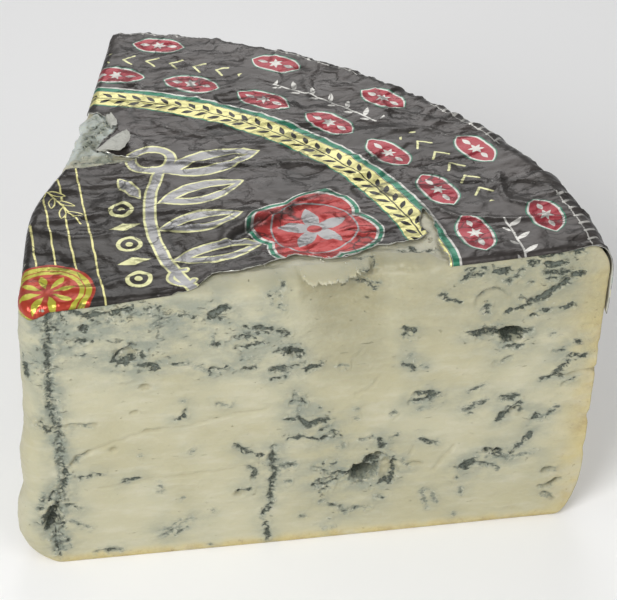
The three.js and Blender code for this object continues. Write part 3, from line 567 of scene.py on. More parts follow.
def scoop_shade(x, z):
    """Painted shade of the scoop: how dark the paste is painted there, most under the torn skin where its
    shadow falls, and along the face's top.
    """
    across = ramp(67, 77, x) * fade(87, 97, x)
    inside = across * (0.6 * ramp(48, 63, z) + 0.4 * ramp(63, 83, z))
    under = ramp(67.2, 69.5, x) * fade(77, 88, x) * ramp(77, 85, z)
    beside = 0.42 * ramp(56, 80, z) * ramp(74, 84, x)
    return np.maximum(np.maximum(inside, under), beside)


def lip_shape(x, drop):
    """How much a place is on the torn skin, which ends in small teeth, and how far it leans out there."""
    ends = ramp(LIP_FROM, LIP_FROM + 2.4, x) * fade(LIP_TO - 8, LIP_TO, x)
    flat = flat_points(x, 0 * x)
    saw = (x / 1.2 + 0.7 * fractal(flat, 2.7, 305, 1)) % 1
    lower = LIP_DROP * (0.25 + 0.75 * ends) + 0.26 * saw + 0.5 * fractal(flat, 3.3, 311, 2)
    for centre, half, deep in LIP_BITES:
        lower = lower - deep * np.exp(-(((x - centre) / half) ** 2))
    skin = fade(lower - 0.22, lower + 0.22, drop) * np.minimum(1, ends * 3)
    return skin, skin * ends * LIP_REACH * ramp(0.2, LIP_DROP, drop)


def front_hollow(x, z):
    """Depth of the scoop, the openings and the dent of the front face."""
    depth = SCOOP_DEPTH * scoop_share(x, z)
    ragged = 0.30 * flat_noise(x, z, 1.6, 31, 3)
    for centre_x, centre_z, half_x, half_z, deep, tilt in HOLES:
        cosine, sine = math.cos(tilt * DEGREE), math.sin(tilt * DEGREE)
        dx = (x - centre_x) * cosine + (z - centre_z) * sine
        dz = (z - centre_z) * cosine - (x - centre_x) * sine
        reach = np.hypot(dx / half_x, dz / half_z)
        depth = np.maximum(depth, deep * fade(0.5, 1.15, reach + ragged))
    dx, dz = x - DENT_X, z - DENT_Z
    round_dent = fade(0.82, 1.0, np.hypot(dx, dz) / DENT_RADIUS)
    return depth + DENT_DEPTH * round_dent * ramp(-DENT_RADIUS, DENT_RADIUS, dz)


def dent_shade(x, z):
    """Painted shade: 1 in the crescent under the round dent's upper edge, where its shadow falls, and a
    little all over it.
    """
    dx, dz = (x - DENT_X) / DENT_RADIUS, (z - DENT_Z) / DENT_RADIUS
    reach = np.hypot(dx, dz)
    crescent = ramp(0.35, 0.8, reach) * ramp(-0.1, 0.6, dz)
    return fade(0.86, 0.97, reach) * (0.25 + 0.75 * crescent)


def crack_depth(x, z):
    depth = np.zeros(np.shape(x))
    for half, deep, *path in CRACKS:
        away = path_distance(x, z, path)
        depth = np.maximum(depth, deep * fade(0.15 * half, 1.6 * half, away))
    return depth


def front_pits(x, z, crack):
    """How yellow the paste is inside the cracks and round the openings."""
    pit = 0.85 * clamp01(crack * 1.1)
    for centre_x, centre_z, half_x, half_z, deep, _ in HOLES:
        reach = np.hypot((x - centre_x) / half_x, (z - centre_z) / half_z)
        pit = np.maximum(pit, clamp01(1.2 - deep / 2) * fade(0.6, 1.3, reach))
    return pit


def paste_relief(points, seed):
    """Low relief of a cut face: smears left by the knife, and fine grain."""
    smear = 0.22 * fractal(points, (13, 13, 3.2), seed, 4)
    swell = 0.30 * fractal(points, (26, 26, 17), seed + 11, 2)
    grain = 0.09 * fractal(points, (1.7, 1.7, 1.0), seed + 23, 2)
    return smear + swell + grain


def crumbled(x, z):
    """How rough the paste is where it has crumbled."""
    rough = np.zeros(np.shape(x))
    for half, strength, *path in CRUMBLES:
        rough = np.maximum(rough, strength * np.exp(-((path_distance(x, z, path) / half) ** 2)))
    return rough


def vein_relief(points, fields):
    """How deep the mould has made the paste crumble, in ragged hollows along the veins."""
    noise = fractal(points, 1.7, 81, 2)
    ragged, deep = fields["vein"] + 0.9 * noise, fields["core"] + 0.9 * noise
    hollow = VEIN_DEPTH * (0.35 * ramp(-0.2, 0.8, ragged) + ramp(-0.3, 0.7, deep))
    lips = 0.2 * ramp(-1.3, -0.4, ragged) * fade(-0.3, 0.3, ragged)
    return hollow - lips * (1 + 1.5 * fractal(points, 1.4, 91, 2))


def random_veins(rng, length, height, clusters):
    """Strokes for a face of a length and a height, gathered in clusters along loose rows."""
    strokes = []
    for _ in range(clusters):
        centre = np.array([rng.uniform(6, length - 6), rng.uniform(5, height - 3)])
        tilt = rng.normal(6, 14) * DEGREE
        for _ in range(rng.integers(2, 8)):
            path = [centre + rng.normal(0, 1, 2) * (6.5, 2.2)]
            for _ in range(rng.integers(1, 4)):
                bend = tilt + rng.normal(0, 0.45)
                path.append(path[-1] + rng.uniform(1.2, 3.4) * polar(bend))
            strokes.append((rng.uniform(0.35, 0.85), rng.uniform(0.55, 1.0), *path))
    return strokes


def needle_channel(rng, along, low, high):
    """A wavering upright channel on a face."""
    path = [(along + rng.normal(0, 0.7), height) for height in np.arange(low, high, 5.0)]
    return (rng.uniform(0.2, 0.4), 0.85, *path)


class Wall:
    """Columns of one side, from the base up: points, the face's own coordinates, and how it faces."""

    def __init__(self, name, plan, out, along, z, heel, shoulder, top):
        self.name, self.plan, self.out, self.along, self.z, self.top = name, plan, out, along, z, top
        self.inset = edge_inset(*heel, z) + edge_inset(*shoulder, top - z)


def between(start, end, share):
    """An edge's rounding on the way from one to another."""
    return [mix(a, b, share) for a, b in zip(start, end)]


def front_wall(share, cell):
    nominal = np.concatenate([
        np.arange(FRONT_START, LIP_FROM - 2, cell), np.arange(LIP_FROM - 2, LIP_TO + 1, cell / 2),
        np.linspace(LIP_TO + 1, WHEEL_RADIUS, round((WHEEL_RADIUS - LIP_TO - 1) / cell) + 1),
    ])[:, None]
    top = top_height(nominal)
    z = share * top
    follow = fade(0, FRONT_GIVE, nominal - FRONT_START)
    x = nominal + follow * (fillet_centre(z) - FRONT_START) - rim_pull(nominal, z, top)
    bare = ramp(*BARE_START, nominal) * fade(*BARE_END, nominal)
    shoulder = between(FRONT_SHOULDER, BARE_SHOULDER, bare)
    heel = between(FRONT_HEEL, FRONT_HEEL_AT_RIM, ramp(*FRONT_HEEL_CHANGE, nominal))
    out = np.broadcast_to([0.0, -1.0], (*x.shape, 2))
    return Wall("front", np.stack([x, 0 * x], -1), out, x, z, heel, shoulder, top)


def rim_wall(share):
    angles = np.linspace(0, CUT_ANGLE, round(WHEEL_RADIUS * CUT_ANGLE / RIM_STEP) + 1)[1:-1, None]
    z = share * top_height(WHEEL_RADIUS) + 0 * angles
    out = polar(angles + 0 * z)
    along = angles * WHEEL_RADIUS + 0 * z
    return Wall("rim", out * WHEEL_RADIUS, out, along, z, RIM_HEEL, RIM_SHOULDER, TOP_AT_RIM)


def left_wall(share):
    start, end = WHEEL_RADIUS, TIP_FILLET + 1.2
    along = np.linspace(start, end, round((start - end) / LEFT_STEP) + 1)[:, None]
    top = top_height(along)
    z = share * top
    heel = between(LEFT_HEEL, TIP_HEEL, fade(*TIP_HEEL_FADE, along))
    reach = (along - rim_pull(along, z, top))[..., None]
    plan = LEFT_WAY * reach + LEFT_OUT * left_belly(along, z)[..., None]
    out = np.broadcast_to(LEFT_OUT, plan.shape)
    return Wall("left", plan, out, along + 0 * z, z, heel, LEFT_SHOULDER, top)


def tip_wall(share, cell):
    t = np.linspace(0, 1, round(TIP_FILLET * (math.pi - CUT_ANGLE) / cell) + 1)[1:-1, None]
    z = share * top_height(TIP_FILLET) + 0 * t
    out = polar(mix(CUT_ANGLE + math.pi / 2, 1.5 * math.pi, t) + 0 * z)
    heel = between(TIP_HEEL, FRONT_HEEL, ramp(0.4, 1, t))
    plan = np.stack([fillet_centre(z), TIP_FILLET + 0 * z], -1) + TIP_FILLET * out
    return Wall("tip", plan, out, plan[..., 0], z, heel, LEFT_SHOULDER, top_height(TIP_FILLET))


def wedge_walls(levels, cell):
    """The four sides of the wedge, anticlockwise from where the front face leaves the tip."""
    share = np.linspace(0, 1, levels + 1)
    share = share - 0.16 * np.sin(2 * np.pi * share) / (2 * np.pi)
    return [front_wall(share, cell), rim_wall(share), left_wall(share), tip_wall(share, cell)]


def rim_rind(x, reach):
    """How much rind shows on a cut face towards the rim."""
    return 0.85 * ramp(WHEEL_RADIUS - reach, WHEEL_RADIUS + 1, x) ** 1.6


def dress_wall(wall, rng):
    """Relief and drawn marks of one side. Gives its points and its fields."""
    points = with_height(wall.plan, wall.z)
    marks = Marks(wall.z.shape)
    depth = pit = pale = bark = crumby = np.zeros(wall.z.shape)
    rind = fade(0.4, 4.2, wall.z + 0.8 * fractal(points, 5, 71, 2))
    at_front = wall.name in ("front", "tip")
    if at_front:
        along, drop = points[..., 0], wall.top - wall.z
        x, z = wandering(along, wall.z, 3)
        facing = clamp01(-wall.out[..., 1] * 2) if wall.name == "tip" else 1.0
        marks.draw(x, z, VEINS)
        marks.add_clouds(along, wall.z, CLOUDS)
        marks.vein = mix(VEIN_FAR, marks.vein, facing)
        marks.core = mix(VEIN_FAR, marks.core, facing)
        skin, lean = lip_shape(along, drop)
        crack = crack_depth(x, z)
        depth = ((front_hollow(along, wall.z) + crack) * (1 - skin) - lean) * facing
        # Painted shade: the scoop under the torn skin and the crescent under the dent's edge are darkened
        # with the pit colour here and with the cloud colour further down.
        shade, dent_shadow = scoop_shade(along, wall.z), dent_shade(x, z)
        pit = np.maximum(front_pits(x, z, crack), 0.95 * shade) * (1 - skin)
        pit = np.maximum(pit, 0.5 * dent_shadow)
        pale = 0.75 * skin * ramp(0.3, 2.5, drop)
        rind = np.maximum(rind, rim_rind(along + 2 * fractal(points, 9, 5, 2), 16))
        for height, half, deep in EDGE_NOTCHES:
            cut = deep * fade(0, half, np.abs(wall.z - height))
            along -= cut * np.exp(-((WHEEL_RADIUS - along) / 2.5) ** 2)
    if wall.name == "left":
        torn = ramp(62, 66, wall.along) * fade(90, 94, wall.along) * ramp(70, 82, wall.z)
        depth = -torn * (0.9 + 1.3 * fractal(points, (3.2, 3.2, 2.6), 151, 3))
        pale = torn * mix(1.0, 2.0, ramp(65, 70, wall.along + 1.6 * fractal(points, 4, 161, 2)))
        strokes = random_veins(rng, WHEEL_RADIUS, TOP_AT_TIP, 46)
        strokes += [needle_channel(rng, at, 3, TOP_AT_TIP) for at in (21, 58, 97, 132)]
        marks.draw(*wandering(wall.along, wall.z, 13), strokes)
        rind = np.maximum(rind, rim_rind(wall.along, 14))
    if wall.name == "rim":
        bark = ramp(0, 6, np.minimum(wall.along, WHEEL_RADIUS * CUT_ANGLE - wall.along))
        rind = np.ones(wall.z.shape)
    fields = marks.fields()
    relief = paste_relief(points, 40) - vein_relief(points, fields)
    if at_front:
        crumbs = ridged(points, (2.6, 2.6, 1.8), 131) - 0.6 + 0.5 * fractal(points, 1.1, 141, 2)
        rough = crumbled(along, wall.z) * facing
        relief = relief + rough * crumbs
        crumby = clamp01(rough - 0.3) ** 2 + 0.6 * skin
        # Painted shade of the scoop and the dent, laid in with the clouds.
        painted_shade = np.maximum(0.6 * shade * (1 - skin), 0.85 * dent_shadow)
        fields["cloud"] = np.maximum(fields["cloud"], painted_shade)
    relief = relief + bark * (0.55 * fractal(points, 6, 101, 4) + 0.35 * fractal(points, 1.9, 111, 2))
    ends = ramp(0, 2.5, wall.z) * ramp(0, 1.5, wall.top - wall.z)
    out = -wall.inset + relief * ends - depth
    points[..., :2] += wall.out * out[..., None]
    fields.update(rind=rind, pit=pit, pale=pale, crumby=crumby)
    return points, fields


def plain_faces(faces, offset=0):
    """Faces as tuples of plain whole numbers."""
    return [tuple(int(i) + offset for i in face) for face in faces]


def mesh_walls(walls_points, coarse):
    """Indices and faces of the closed ring of columns. Coarse walls keep every second level."""
    keep = np.concatenate([np.full(len(points), flag) for points, flag in zip(walls_points, coarse)])
    count, levels = np.concatenate(walls_points).shape[:2]
    used = np.ones((count, levels), bool)
    used[keep, 1::2] = False
    index = np.full((count, levels), -1)
    index[used] = np.arange(used.sum())
    faces = []
    for column in range(count):
        after = (column + 1) % count
        a, b = index[column], index[after]
        if not keep[column] and not keep[after]:
            faces.extend(zip(a[:-1], b[:-1], b[1:], a[1:]))
        elif keep[column] and keep[after]:
            faces.extend(zip(a[:-2:2], b[:-2:2], b[2::2], a[2::2]))
        elif keep[after]:
            for low in range(0, levels - 1, 2):
                faces.append((a[low], b[low], a[low + 1]))
                faces.append((a[low + 1], b[low], b[low + 2]))
                faces.append((a[low + 1], b[low + 2], a[low + 2]))
        else:
            for low in range(0, levels - 1, 2):
                faces.append((a[low], b[low], b[low + 1]))
                faces.append((a[low], b[low + 1], a[low + 2]))
                faces.append((a[low + 2], b[low + 1], b[low + 2]))
    return used, index, plain_faces(faces)


def inside_outline(points, outline):
    """Which points lie inside a closed outline."""
    x, y = points[:, 0], points[:, 1]
    inside = np.zeros(len(points), bool)
    for (ax, ay), (bx, by) in zip(outline, np.roll(outline, -1, 0)):
        crosses = (ay > y) != (by > y)
        with np.errstate(divide="ignore", invalid="ignore"):
            at = ax + (y - ay) / (by - ay) * (bx - ax)
        inside ^= crosses & (x < at)
    return inside


def outline_distance(points, outline):
    return path_distance(points[:, 0], points[:, 1], [*outline, outline[0]])


def fill_outline(outline, inner, clear):
    """Triangles over an outline, through inner points clear of it. The outline's points come first."""
    inner = inner[inside_outline(inner, outline)]
    inner = inner[outline_distance(inner, outline) > clear]
    places = [Vector(p) for p in np.concatenate([outline, inner])]
    verts, _, faces, *_ = delaunay_2d_cdt(places, [], [list(range(len(outline)))], 1, 1e-5)
    return np.array([tuple(v) for v in verts]), [tuple(face) for face in faces]


def hex_grid(low, high, step):
    """Points of a triangular grid over a box."""
    rows = np.arange(low[1], high[1], step * math.sqrt(0.75))
    columns = np.arange(low[0], high[0], step)
    x, y = np.meshgrid(columns, rows)
    x = x + np.where(np.arange(len(rows)) % 2, step / 2, 0)[:, None]
    return np.stack([x.ravel(), y.ravel()], -1)


def crown(radius):
    """Height of the top surface, which meets the rounding of the rim."""
    meet = TOP_AT_RIM - top_height(WHEEL_RADIUS - RIM_SHOULDER[0])
    return top_height(radius) + meet * ramp(120, WHEEL_RADIUS - RIM_SHOULDER[0], radius)


def torn_patch(x, y):
    """1 on the torn patch beside the gap in the foil's left side."""
    return fade(8, 9.5, path_distance(x, y, TORN_PATCH))


def bare_top(x, y):
    """1 where the top of the cheese shows, 0 well under the foil."""
    near_ledge = fade(0, 1.2, y - np.interp(x, LEDGE_PLACES, LEDGE_WIDTHS))
    slit = fade(2.2, 3, path_distance(x, y, TORN_SLIT))
    return np.maximum.reduce([near_ledge, torn_patch(x, y), slit])


def top_cap(ring):
    """The top surface inside its outer ring: points, faces and fields. The ring's points come first."""
    low, high = ring[:, :2].min(0), ring[:, :2].max(0)
    fine, coarse = hex_grid(low, high, 0.8), hex_grid(low, high, 4.0)
    fine = fine[bare_top(*fine.T) > 0.05]
    coarse = coarse[bare_top(*coarse.T) <= 0.05]
    flat, faces = fill_outline(ring[:, :2], np.concatenate([fine, coarse]), 0.45)
    x, y = flat.T
    bare, patch = bare_top(x, y), torn_patch(x, y)
    points = with_height(flat, crown(np.hypot(x, y)))
    marks = Marks(x.shape)
    marks.draw(*wandering(x, y, 23), TOP_VEINS)
    marks.add_clouds(*wandering(x, y, 27), TOP_CLOUDS)
    fields = marks.fields()
    rough = mix(0.4, 0.75, patch)
    relief = rough * fractal(points, (4, 3, 3), 201, 3) + 0.14 * fractal(points, 1.3, 205, 2) - 0.3
    ridges = patch * 1.25 * (1 - np.abs(fractal(points, (4.5, 2.2, 3), 211, 2)) * 3).clip(0, 1)
    relief = relief + ridges - vein_relief(points, fields)
    relief = np.where(inside_outline(flat, foil_outline(1.0)), np.minimum(relief, 0) - 0.3, relief)
    away = outline_distance(flat, ring[:, :2])
    relief = relief * ramp(0, 2, away)
    points[:, 2] += np.where(bare > 0.02, relief, -0.5 * ramp(0, 2, away))
    points[: len(ring), 2] = ring[:, 2]
    fields["cloud"] = mix(0.6, 1.0, patch) * fields["cloud"]
    zero = np.zeros(x.shape)
    crumby = clamp01(0.25 * bare + 0.3 * patch) * ramp(0.6, 1.6, away)
    grey = patch * ramp(65, 70, y + 1.6 * flat_noise(x, y, 4, 221, 2))
    fields.update(rind=zero, pit=zero, pale=bare * mix(0.8, 2.0, grey), crumby=crumby)
    return points, faces, fields


def base_cap(ring):
    """The flat underside inside its outer ring."""
    low, high = ring[:, :2].min(0), ring[:, :2].max(0)
    flat, faces = fill_outline(ring[:, :2], hex_grid(low, high, 3.5), 0.5)
    points = with_height(flat, 0.0)
    points[: len(ring), 2] = ring[:, 2]
    zero = np.zeros(len(flat))
    far = zero + VEIN_FAR
    fields = dict(vein=far, core=far, cloud=zero, rind=zero + 1, pit=zero, pale=zero, crumby=zero)
    return points, [face[::-1] for face in faces], fields


def quads(index):
    """Faces over a grid of indices, whose normal is the rows' direction across the columns'."""
    a, b = index[:-1, :-1].ravel(), index[1:, :-1].ravel()
    c, d = index[1:, 1:].ravel(), index[:-1, 1:].ravel()
    return [tuple(int(i) for i in face) for face in zip(d, c, b, a)]


def settled(points):
    """The points, with the far corner of the top sunk."""
    points = np.array(points, float)
    away = np.hypot(points[:, 0] - FAR_CORNER[0], points[:, 1] - FAR_CORNER[1])
    points[:, 2] -= CORNER_SAG * np.exp(-away / CORNER_SPREAD) * ramp(45, 88, points[:, 2])
    return points


def add_object(name, data):
    made = bpy.data.objects.new(name, data)
    bpy.context.scene.collection.objects.link(made)
    return made


def add_mesh(name, points, faces, fields, material):
    """A smooth mesh object from points in wedge millimetres, with its fields as attributes."""
    mesh = bpy.data.meshes.new(name)
    places = (settled(points) + WHEEL_AXIS) * MM
    mesh.from_pydata(places.tolist(), [], faces)
    for key, values in fields.items():
        kind, part = ("FLOAT_VECTOR", "vector") if values.ndim == 2 else ("FLOAT", "value")
        attribute = mesh.attributes.new(key, kind, "POINT")
        attribute.data.foreach_set(part, values.astype(np.float32).ravel())
    mesh.materials.append(material)
    mesh.shade_smooth()
    mesh.update()
    return add_object(name, mesh)


def close_slivers(made):
    """Closes the few slits that are left where the points of a rounded corner lie almost in line."""
    mesh = bmesh.new()
    mesh.from_mesh(made.data)
    bmesh.ops.holes_fill(mesh, edges=[edge for edge in mesh.edges if edge.is_boundary], sides=4)
    bmesh.ops.recalc_face_normals(mesh, faces=mesh.faces)
    for face in mesh.faces:
        face.smooth = True
    mesh.to_mesh(made.data)
    mesh.free()


def crumb_tree():
    """Small uneven crumbs over the faces of a mesh, as many as its attribute crumby asks for."""
    tree = bpy.data.node_groups.new("crumbs", "GeometryNodeTree")
    kinds = dict(
        Geometry="Geometry", Density="Float", Smallest="Float", Largest="Float", Roughness="Float",
        Seed="Int", Material="Material",
    )
    for name, kind in kinds.items():
        tree.interface.new_socket(name, in_out="INPUT", socket_type="NodeSocket" + kind)
    tree.interface.new_socket("Geometry", in_out="OUTPUT", socket_type="NodeSocketGeometry")
    nodes = Nodes(tree)
    given = nodes.add("NodeGroupInput").outputs

    def spread(kind, low, high, seed):
        """A random value for each crumb. The node has separate sockets for vectors and for numbers."""
        first = 0 if kind == "FLOAT_VECTOR" else 2
        inputs = {first: low, first + 1: high, "Seed": seed}
        return nodes.add("FunctionNodeRandomValue", inputs, data_type=kind).outputs[first // 2]

    wanted = nodes.first("GeometryNodeInputNamedAttribute", {"Name": "crumby"})
    density = nodes.times(wanted, given["Density"])
    inputs = {"Mesh": given["Geometry"], "Density": density, "Seed": given["Seed"]}
    places = nodes.first("GeometryNodeDistributePointsOnFaces", inputs)
    crumb = nodes.first("GeometryNodeMeshIcoSphere", {"Radius": 1.0, "Subdivisions": 2})
    turn = spread("FLOAT_VECTOR", (-3.1, -3.1, -3.1), (3.1, 3.1, 3.1), 5)
    size = spread("FLOAT", given["Smallest"], given["Largest"], 7)
    scale = nodes.scaled(spread("FLOAT_VECTOR", (0.6, 0.5, 0.45), (1.5, 1.1, 0.9), 9), size)
    inputs = {"Points": places, "Instance": crumb, "Rotation": turn, "Scale": scale}
    crumbs = nodes.first("GeometryNodeInstanceOnPoints", inputs)
    crumbs = nodes.first("GeometryNodeRealizeInstances", {0: crumbs})
    bumps = nodes.drift(nodes.first("GeometryNodeInputPosition"), CRUMB_NOISE_SCALE, 1.0)
    shift = nodes.scaled(bumps, given["Roughness"])
    crumbs = nodes.first("GeometryNodeSetPosition", {"Geometry": crumbs, "Offset": shift})
    for name, value in (("vein", VEIN_FAR), ("core", VEIN_FAR), ("pale", 1.2)):
        inputs = {"Geometry": crumbs, "Name": name, "Value": value}
        crumbs = nodes.first("GeometryNodeStoreNamedAttribute", inputs, data_type="FLOAT", domain="POINT")
    crumbs = nodes.first("GeometryNodeSetMaterial", {"Geometry": crumbs, "Material": given["Material"]})
    nodes.add("NodeGroupOutput", {"Geometry": crumbs})
    return tree


def build_crumbs(settings):
    """Crumbs on the bare ledge, on the torn patch and where the front has crumbled."""
    cheese = bpy.data.objects["cheese_wedge"]
    source = add_object("crumb_source", cheese.data)
    tree = crumb_tree()
    modifier = source.modifiers.new("crumbs", "NODES")
    modifier.node_group = tree
    values = {name.capitalize(): getattr(settings, name) for name in CrumbSettings.__annotations__}
    values["Material"] = cheese.data.materials[0]
    for socket in tree.interface.items_tree:
        if socket.in_out == "INPUT" and socket.name in values:
            modifier[socket.identifier] = values[socket.name]
    evaluated = source.evaluated_get(bpy.context.evaluated_depsgraph_get())
    mesh = bpy.data.meshes.new_from_object(evaluated)
    source.modifiers.remove(modifier)
    bpy.data.objects.remove(source)
    mesh.name = "cheese_crumbs"
    mesh.shade_smooth()
    made = add_object("cheese_crumbs", mesh)
    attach(made, "root")


def build_cheese(settings):
    """The cheese: four sides, the top and the base, in one mesh."""
    rng = np.random.default_rng(settings.seed)
    levels = 2 * round(TOP_AT_RIM / (2 * settings.cell / MM))
    walls = wedge_walls(levels, settings.cell / MM)
    dressed, drawn = zip(*[dress_wall(wall, rng) for wall in walls])
    used, index, faces = mesh_walls(dressed, [wall.name in ("rim", "left") for wall in walls])
    all_points = [np.concatenate(dressed)[used]]
    all_fields = [{key: np.concatenate([fields[key] for fields in drawn])[used] for key in drawn[0]}]
    for cap, ring in ((top_cap, index[:, -1]), (base_cap, index[:, 0])):
        cap_points, cap_faces, cap_fields = cap(all_points[0][ring])
        offset = sum(len(part) for part in all_points) - len(ring)
        renumber = np.concatenate([ring, np.arange(len(ring), len(cap_points)) + offset])
        faces += plain_faces(renumber[list(face)] for face in cap_faces)
        all_points.append(cap_points[len(ring):])
        all_fields.append({key: values[len(ring):] for key, values in cap_fields.items()})
    fields = {key: np.concatenate([part[key] for part in all_fields]) for key in all_fields[0]}
    made = add_mesh("cheese_wedge", np.concatenate(all_points), faces, fields, paste_material(settings))
    close_slivers(made)
    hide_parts("cheese")
    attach(made, "root")


# The foil


def skirt_bottom(angle):
    """Height of the skirt's lower edge round the rim."""
    t = angle / CUT_ANGLE
    ragged = 1.3 * flat_noise(angle * WHEEL_RADIUS, 0 * angle, 5.5, 401, 3)
    return SKIRT_BOTTOM + SKIRT_WAVE * np.cos(SKIRT_WAVES * t) + ragged


SHOULDER_START = WHEEL_RADIUS - RIM_SHOULDER[0]
SHOULDER_ANGLES = np.linspace(0, math.pi / 2, 60)
SHOULDER_STEPS = np.hypot(
    RIM_SHOULDER[0] * np.cos(SHOULDER_ANGLES), RIM_SHOULDER[1] * np.sin(SHOULDER_ANGLES)
)
SHOULDER_LENGTHS = np.concatenate([[0], np.cumsum((SHOULDER_STEPS[1:] + SHOULDER_STEPS[:-1]) / 2)])
SHOULDER_LENGTHS = SHOULDER_LENGTHS * (SHOULDER_ANGLES[1] - SHOULDER_ANGLES[0])
SHOULDER_LENGTH = SHOULDER_LENGTHS[-1]


def label_reach(height):
    """Distance from the wheel's axis, along the foil laid flat, of a height on the rim."""
    return SHOULDER_START + SHOULDER_LENGTH + (TOP_AT_RIM - RIM_SHOULDER[1] - height)


def left_line(along, outward=0.1):
    """Plan points beside the left face's top edge."""
    along = np.asarray(along, float)[:, None]
    return LEFT_WAY * along + LEFT_OUT * (left_belly(along, TOP_AT_TIP) + outward)


def resample(path, step):
    """The same open path with a point every step or so."""
    path = np.asarray(path, float)
    lengths = np.concatenate([[0], np.cumsum(np.hypot(*np.diff(path, axis=0).T))])
    at = np.linspace(0, lengths[-1], max(2, round(lengths[-1] / step) + 1))
    return np.stack([np.interp(at, lengths, path[:, k]) for k in (0, 1)], -1)


def fray(path, amount, seed):
    """Shifts the inner points of a path at random, as a tear does."""
    shifted = path.copy()
    x, y = path[1:-1].T
    shifted[1:-1, 0] += amount * flat_noise(x, y, 1.7, seed, 3)
    shifted[1:-1, 1] += amount * flat_noise(x, y, 1.7, seed + 5, 3)
    return shifted


def foil_outline(step):
    """The outline of the foil laid flat, anticlockwise, in wedge millimetres."""
    front = resample([(5.4, -0.15), (20, -0.1), (36, 0.2)], step)
    bare = fray(resample(BARE_EDGE, step), 0.5, 411)
    right = fray(resample(RIGHT_TEAR, step), 0.3, 421)
    end_reach = label_reach(skirt_bottom(np.zeros(1))[0])
    end = resample([(106.6, -0.1), (SHOULDER_START, 0.05), (end_reach, 0.05)], step)
    angles = np.linspace(0.0004, CUT_ANGLE - 0.0004, round(WHEEL_RADIUS * CUT_ANGLE / step))
    reach = label_reach(skirt_bottom(angles))
    down = resample([LEFT_WAY * reach[-1], LEFT_WAY * SHOULDER_START], step)
    upper = left_line(np.arange(SHOULDER_START - step, 95.6, -step))
    gap = fray(resample(LEFT_TEAR, step), 0.35, 431)
    lower = left_line(np.arange(60.5, 22, -step))
    turns = np.linspace(CUT_ANGLE + math.pi / 2 + 0.1, 1.5 * math.pi - 0.1, 14)
    hang = TIP_FILLET + np.interp(turns, (turns[0], 3.3, 4.0, turns[-1]), (1.6, 2.4, 2.0, 0.3))
    tip = polar(turns, hang) + (fillet_centre(TOP_AT_TIP), TIP_FILLET)
    side = resample([lower[-1], tip[0]], step)[1:-1]
    tip = fray(resample(tip, step), 0.35, 441)
    parts = [front, bare[1:], right, end, polar(angles, reach), down[1:], upper, gap, lower, side, tip]
    return np.concatenate(parts)


def outward_from_edges(x, y):
    """How far inside the top's front, tip or left edge a place is, and the way out."""
    along, across = x * LEFT_WAY[0] + y * LEFT_WAY[1], x * LEFT_OUT[0] + y * LEFT_OUT[1]
    to_left = left_belly(along, TOP_AT_TIP) + 0.2 - across
    to_front = y + 0.3
    inside = np.minimum(to_front, to_left)
    out = np.where((to_front < to_left)[..., None], np.array([0.0, -1.0]), LEFT_OUT)
    dx, dy = x - fillet_centre(TOP_AT_TIP), y - TIP_FILLET
    turn = np.arctan2(dy, dx) % (2 * math.pi)
    in_tip = (turn > CUT_ANGLE + math.pi / 2) & (turn < 1.5 * math.pi)
    radius = np.hypot(dx, dy)
    inside = np.where(in_tip, TIP_FILLET + 0.25 - radius, inside)
    way = np.stack([dx, dy], -1) / np.maximum(radius, 1e-6)[..., None]
    return inside, np.where(in_tip[..., None], way, out)


def drape(flat):
    """Where points of the flat foil lie on the wedge, and the way out of it there."""
    x, y = flat.T
    reach, angle = np.hypot(x, y), np.arctan2(y, x)
    over = np.clip(reach - SHOULDER_START, 0, SHOULDER_LENGTH)
    bend = np.interp(over, SHOULDER_LENGTHS, SHOULDER_ANGLES)
    radius = np.minimum(reach, SHOULDER_START) + RIM_SHOULDER[0] * np.sin(bend)
    drop = RIM_SHOULDER[1] * (1 - np.cos(bend)) + np.maximum(reach - SHOULDER_START - SHOULDER_LENGTH, 0)
    points = with_height(polar(angle, radius), crown(np.minimum(reach, SHOULDER_START)) - drop)
    lean, rise = np.sin(bend) / RIM_SHOULDER[0], np.cos(bend) / RIM_SHOULDER[1]
    normal = with_height(polar(angle, lean), rise) / np.hypot(lean, rise)[:, None]
    inside, way = outward_from_edges(x, y)
    on_top = fade(SHOULDER_START - 8, SHOULDER_START + 1, reach)
    beyond = np.maximum(-inside, 0) * on_top
    turned = clamp01((FRONT_SHOULDER[0] - inside) / FRONT_SHOULDER[0])
    points[:, 2] -= (FRONT_SHOULDER[1] * (1 - np.sqrt(1 - turned**2)) + beyond) * on_top
    points[:, :2] -= way * beyond[:, None]
    tilt = (turned**2 * on_top)[:, None]
    normal = normal * (1 - tilt) + with_height(way, 0.0) * tilt
    return points, normal / np.linalg.norm(normal, axis=1)[:, None]


def ridged(points, size, seed, octaves=2):
    """Noise from 0 to 1 with sharp crests."""
    return 1 - clamp01(np.abs(fractal(points, size, seed, octaves)) * 2.6)


def flat_ridges(x, y, size, seed):
    """Sharp crests over plan places."""
    return ridged(flat_points(x, y), (*size, 1), seed)


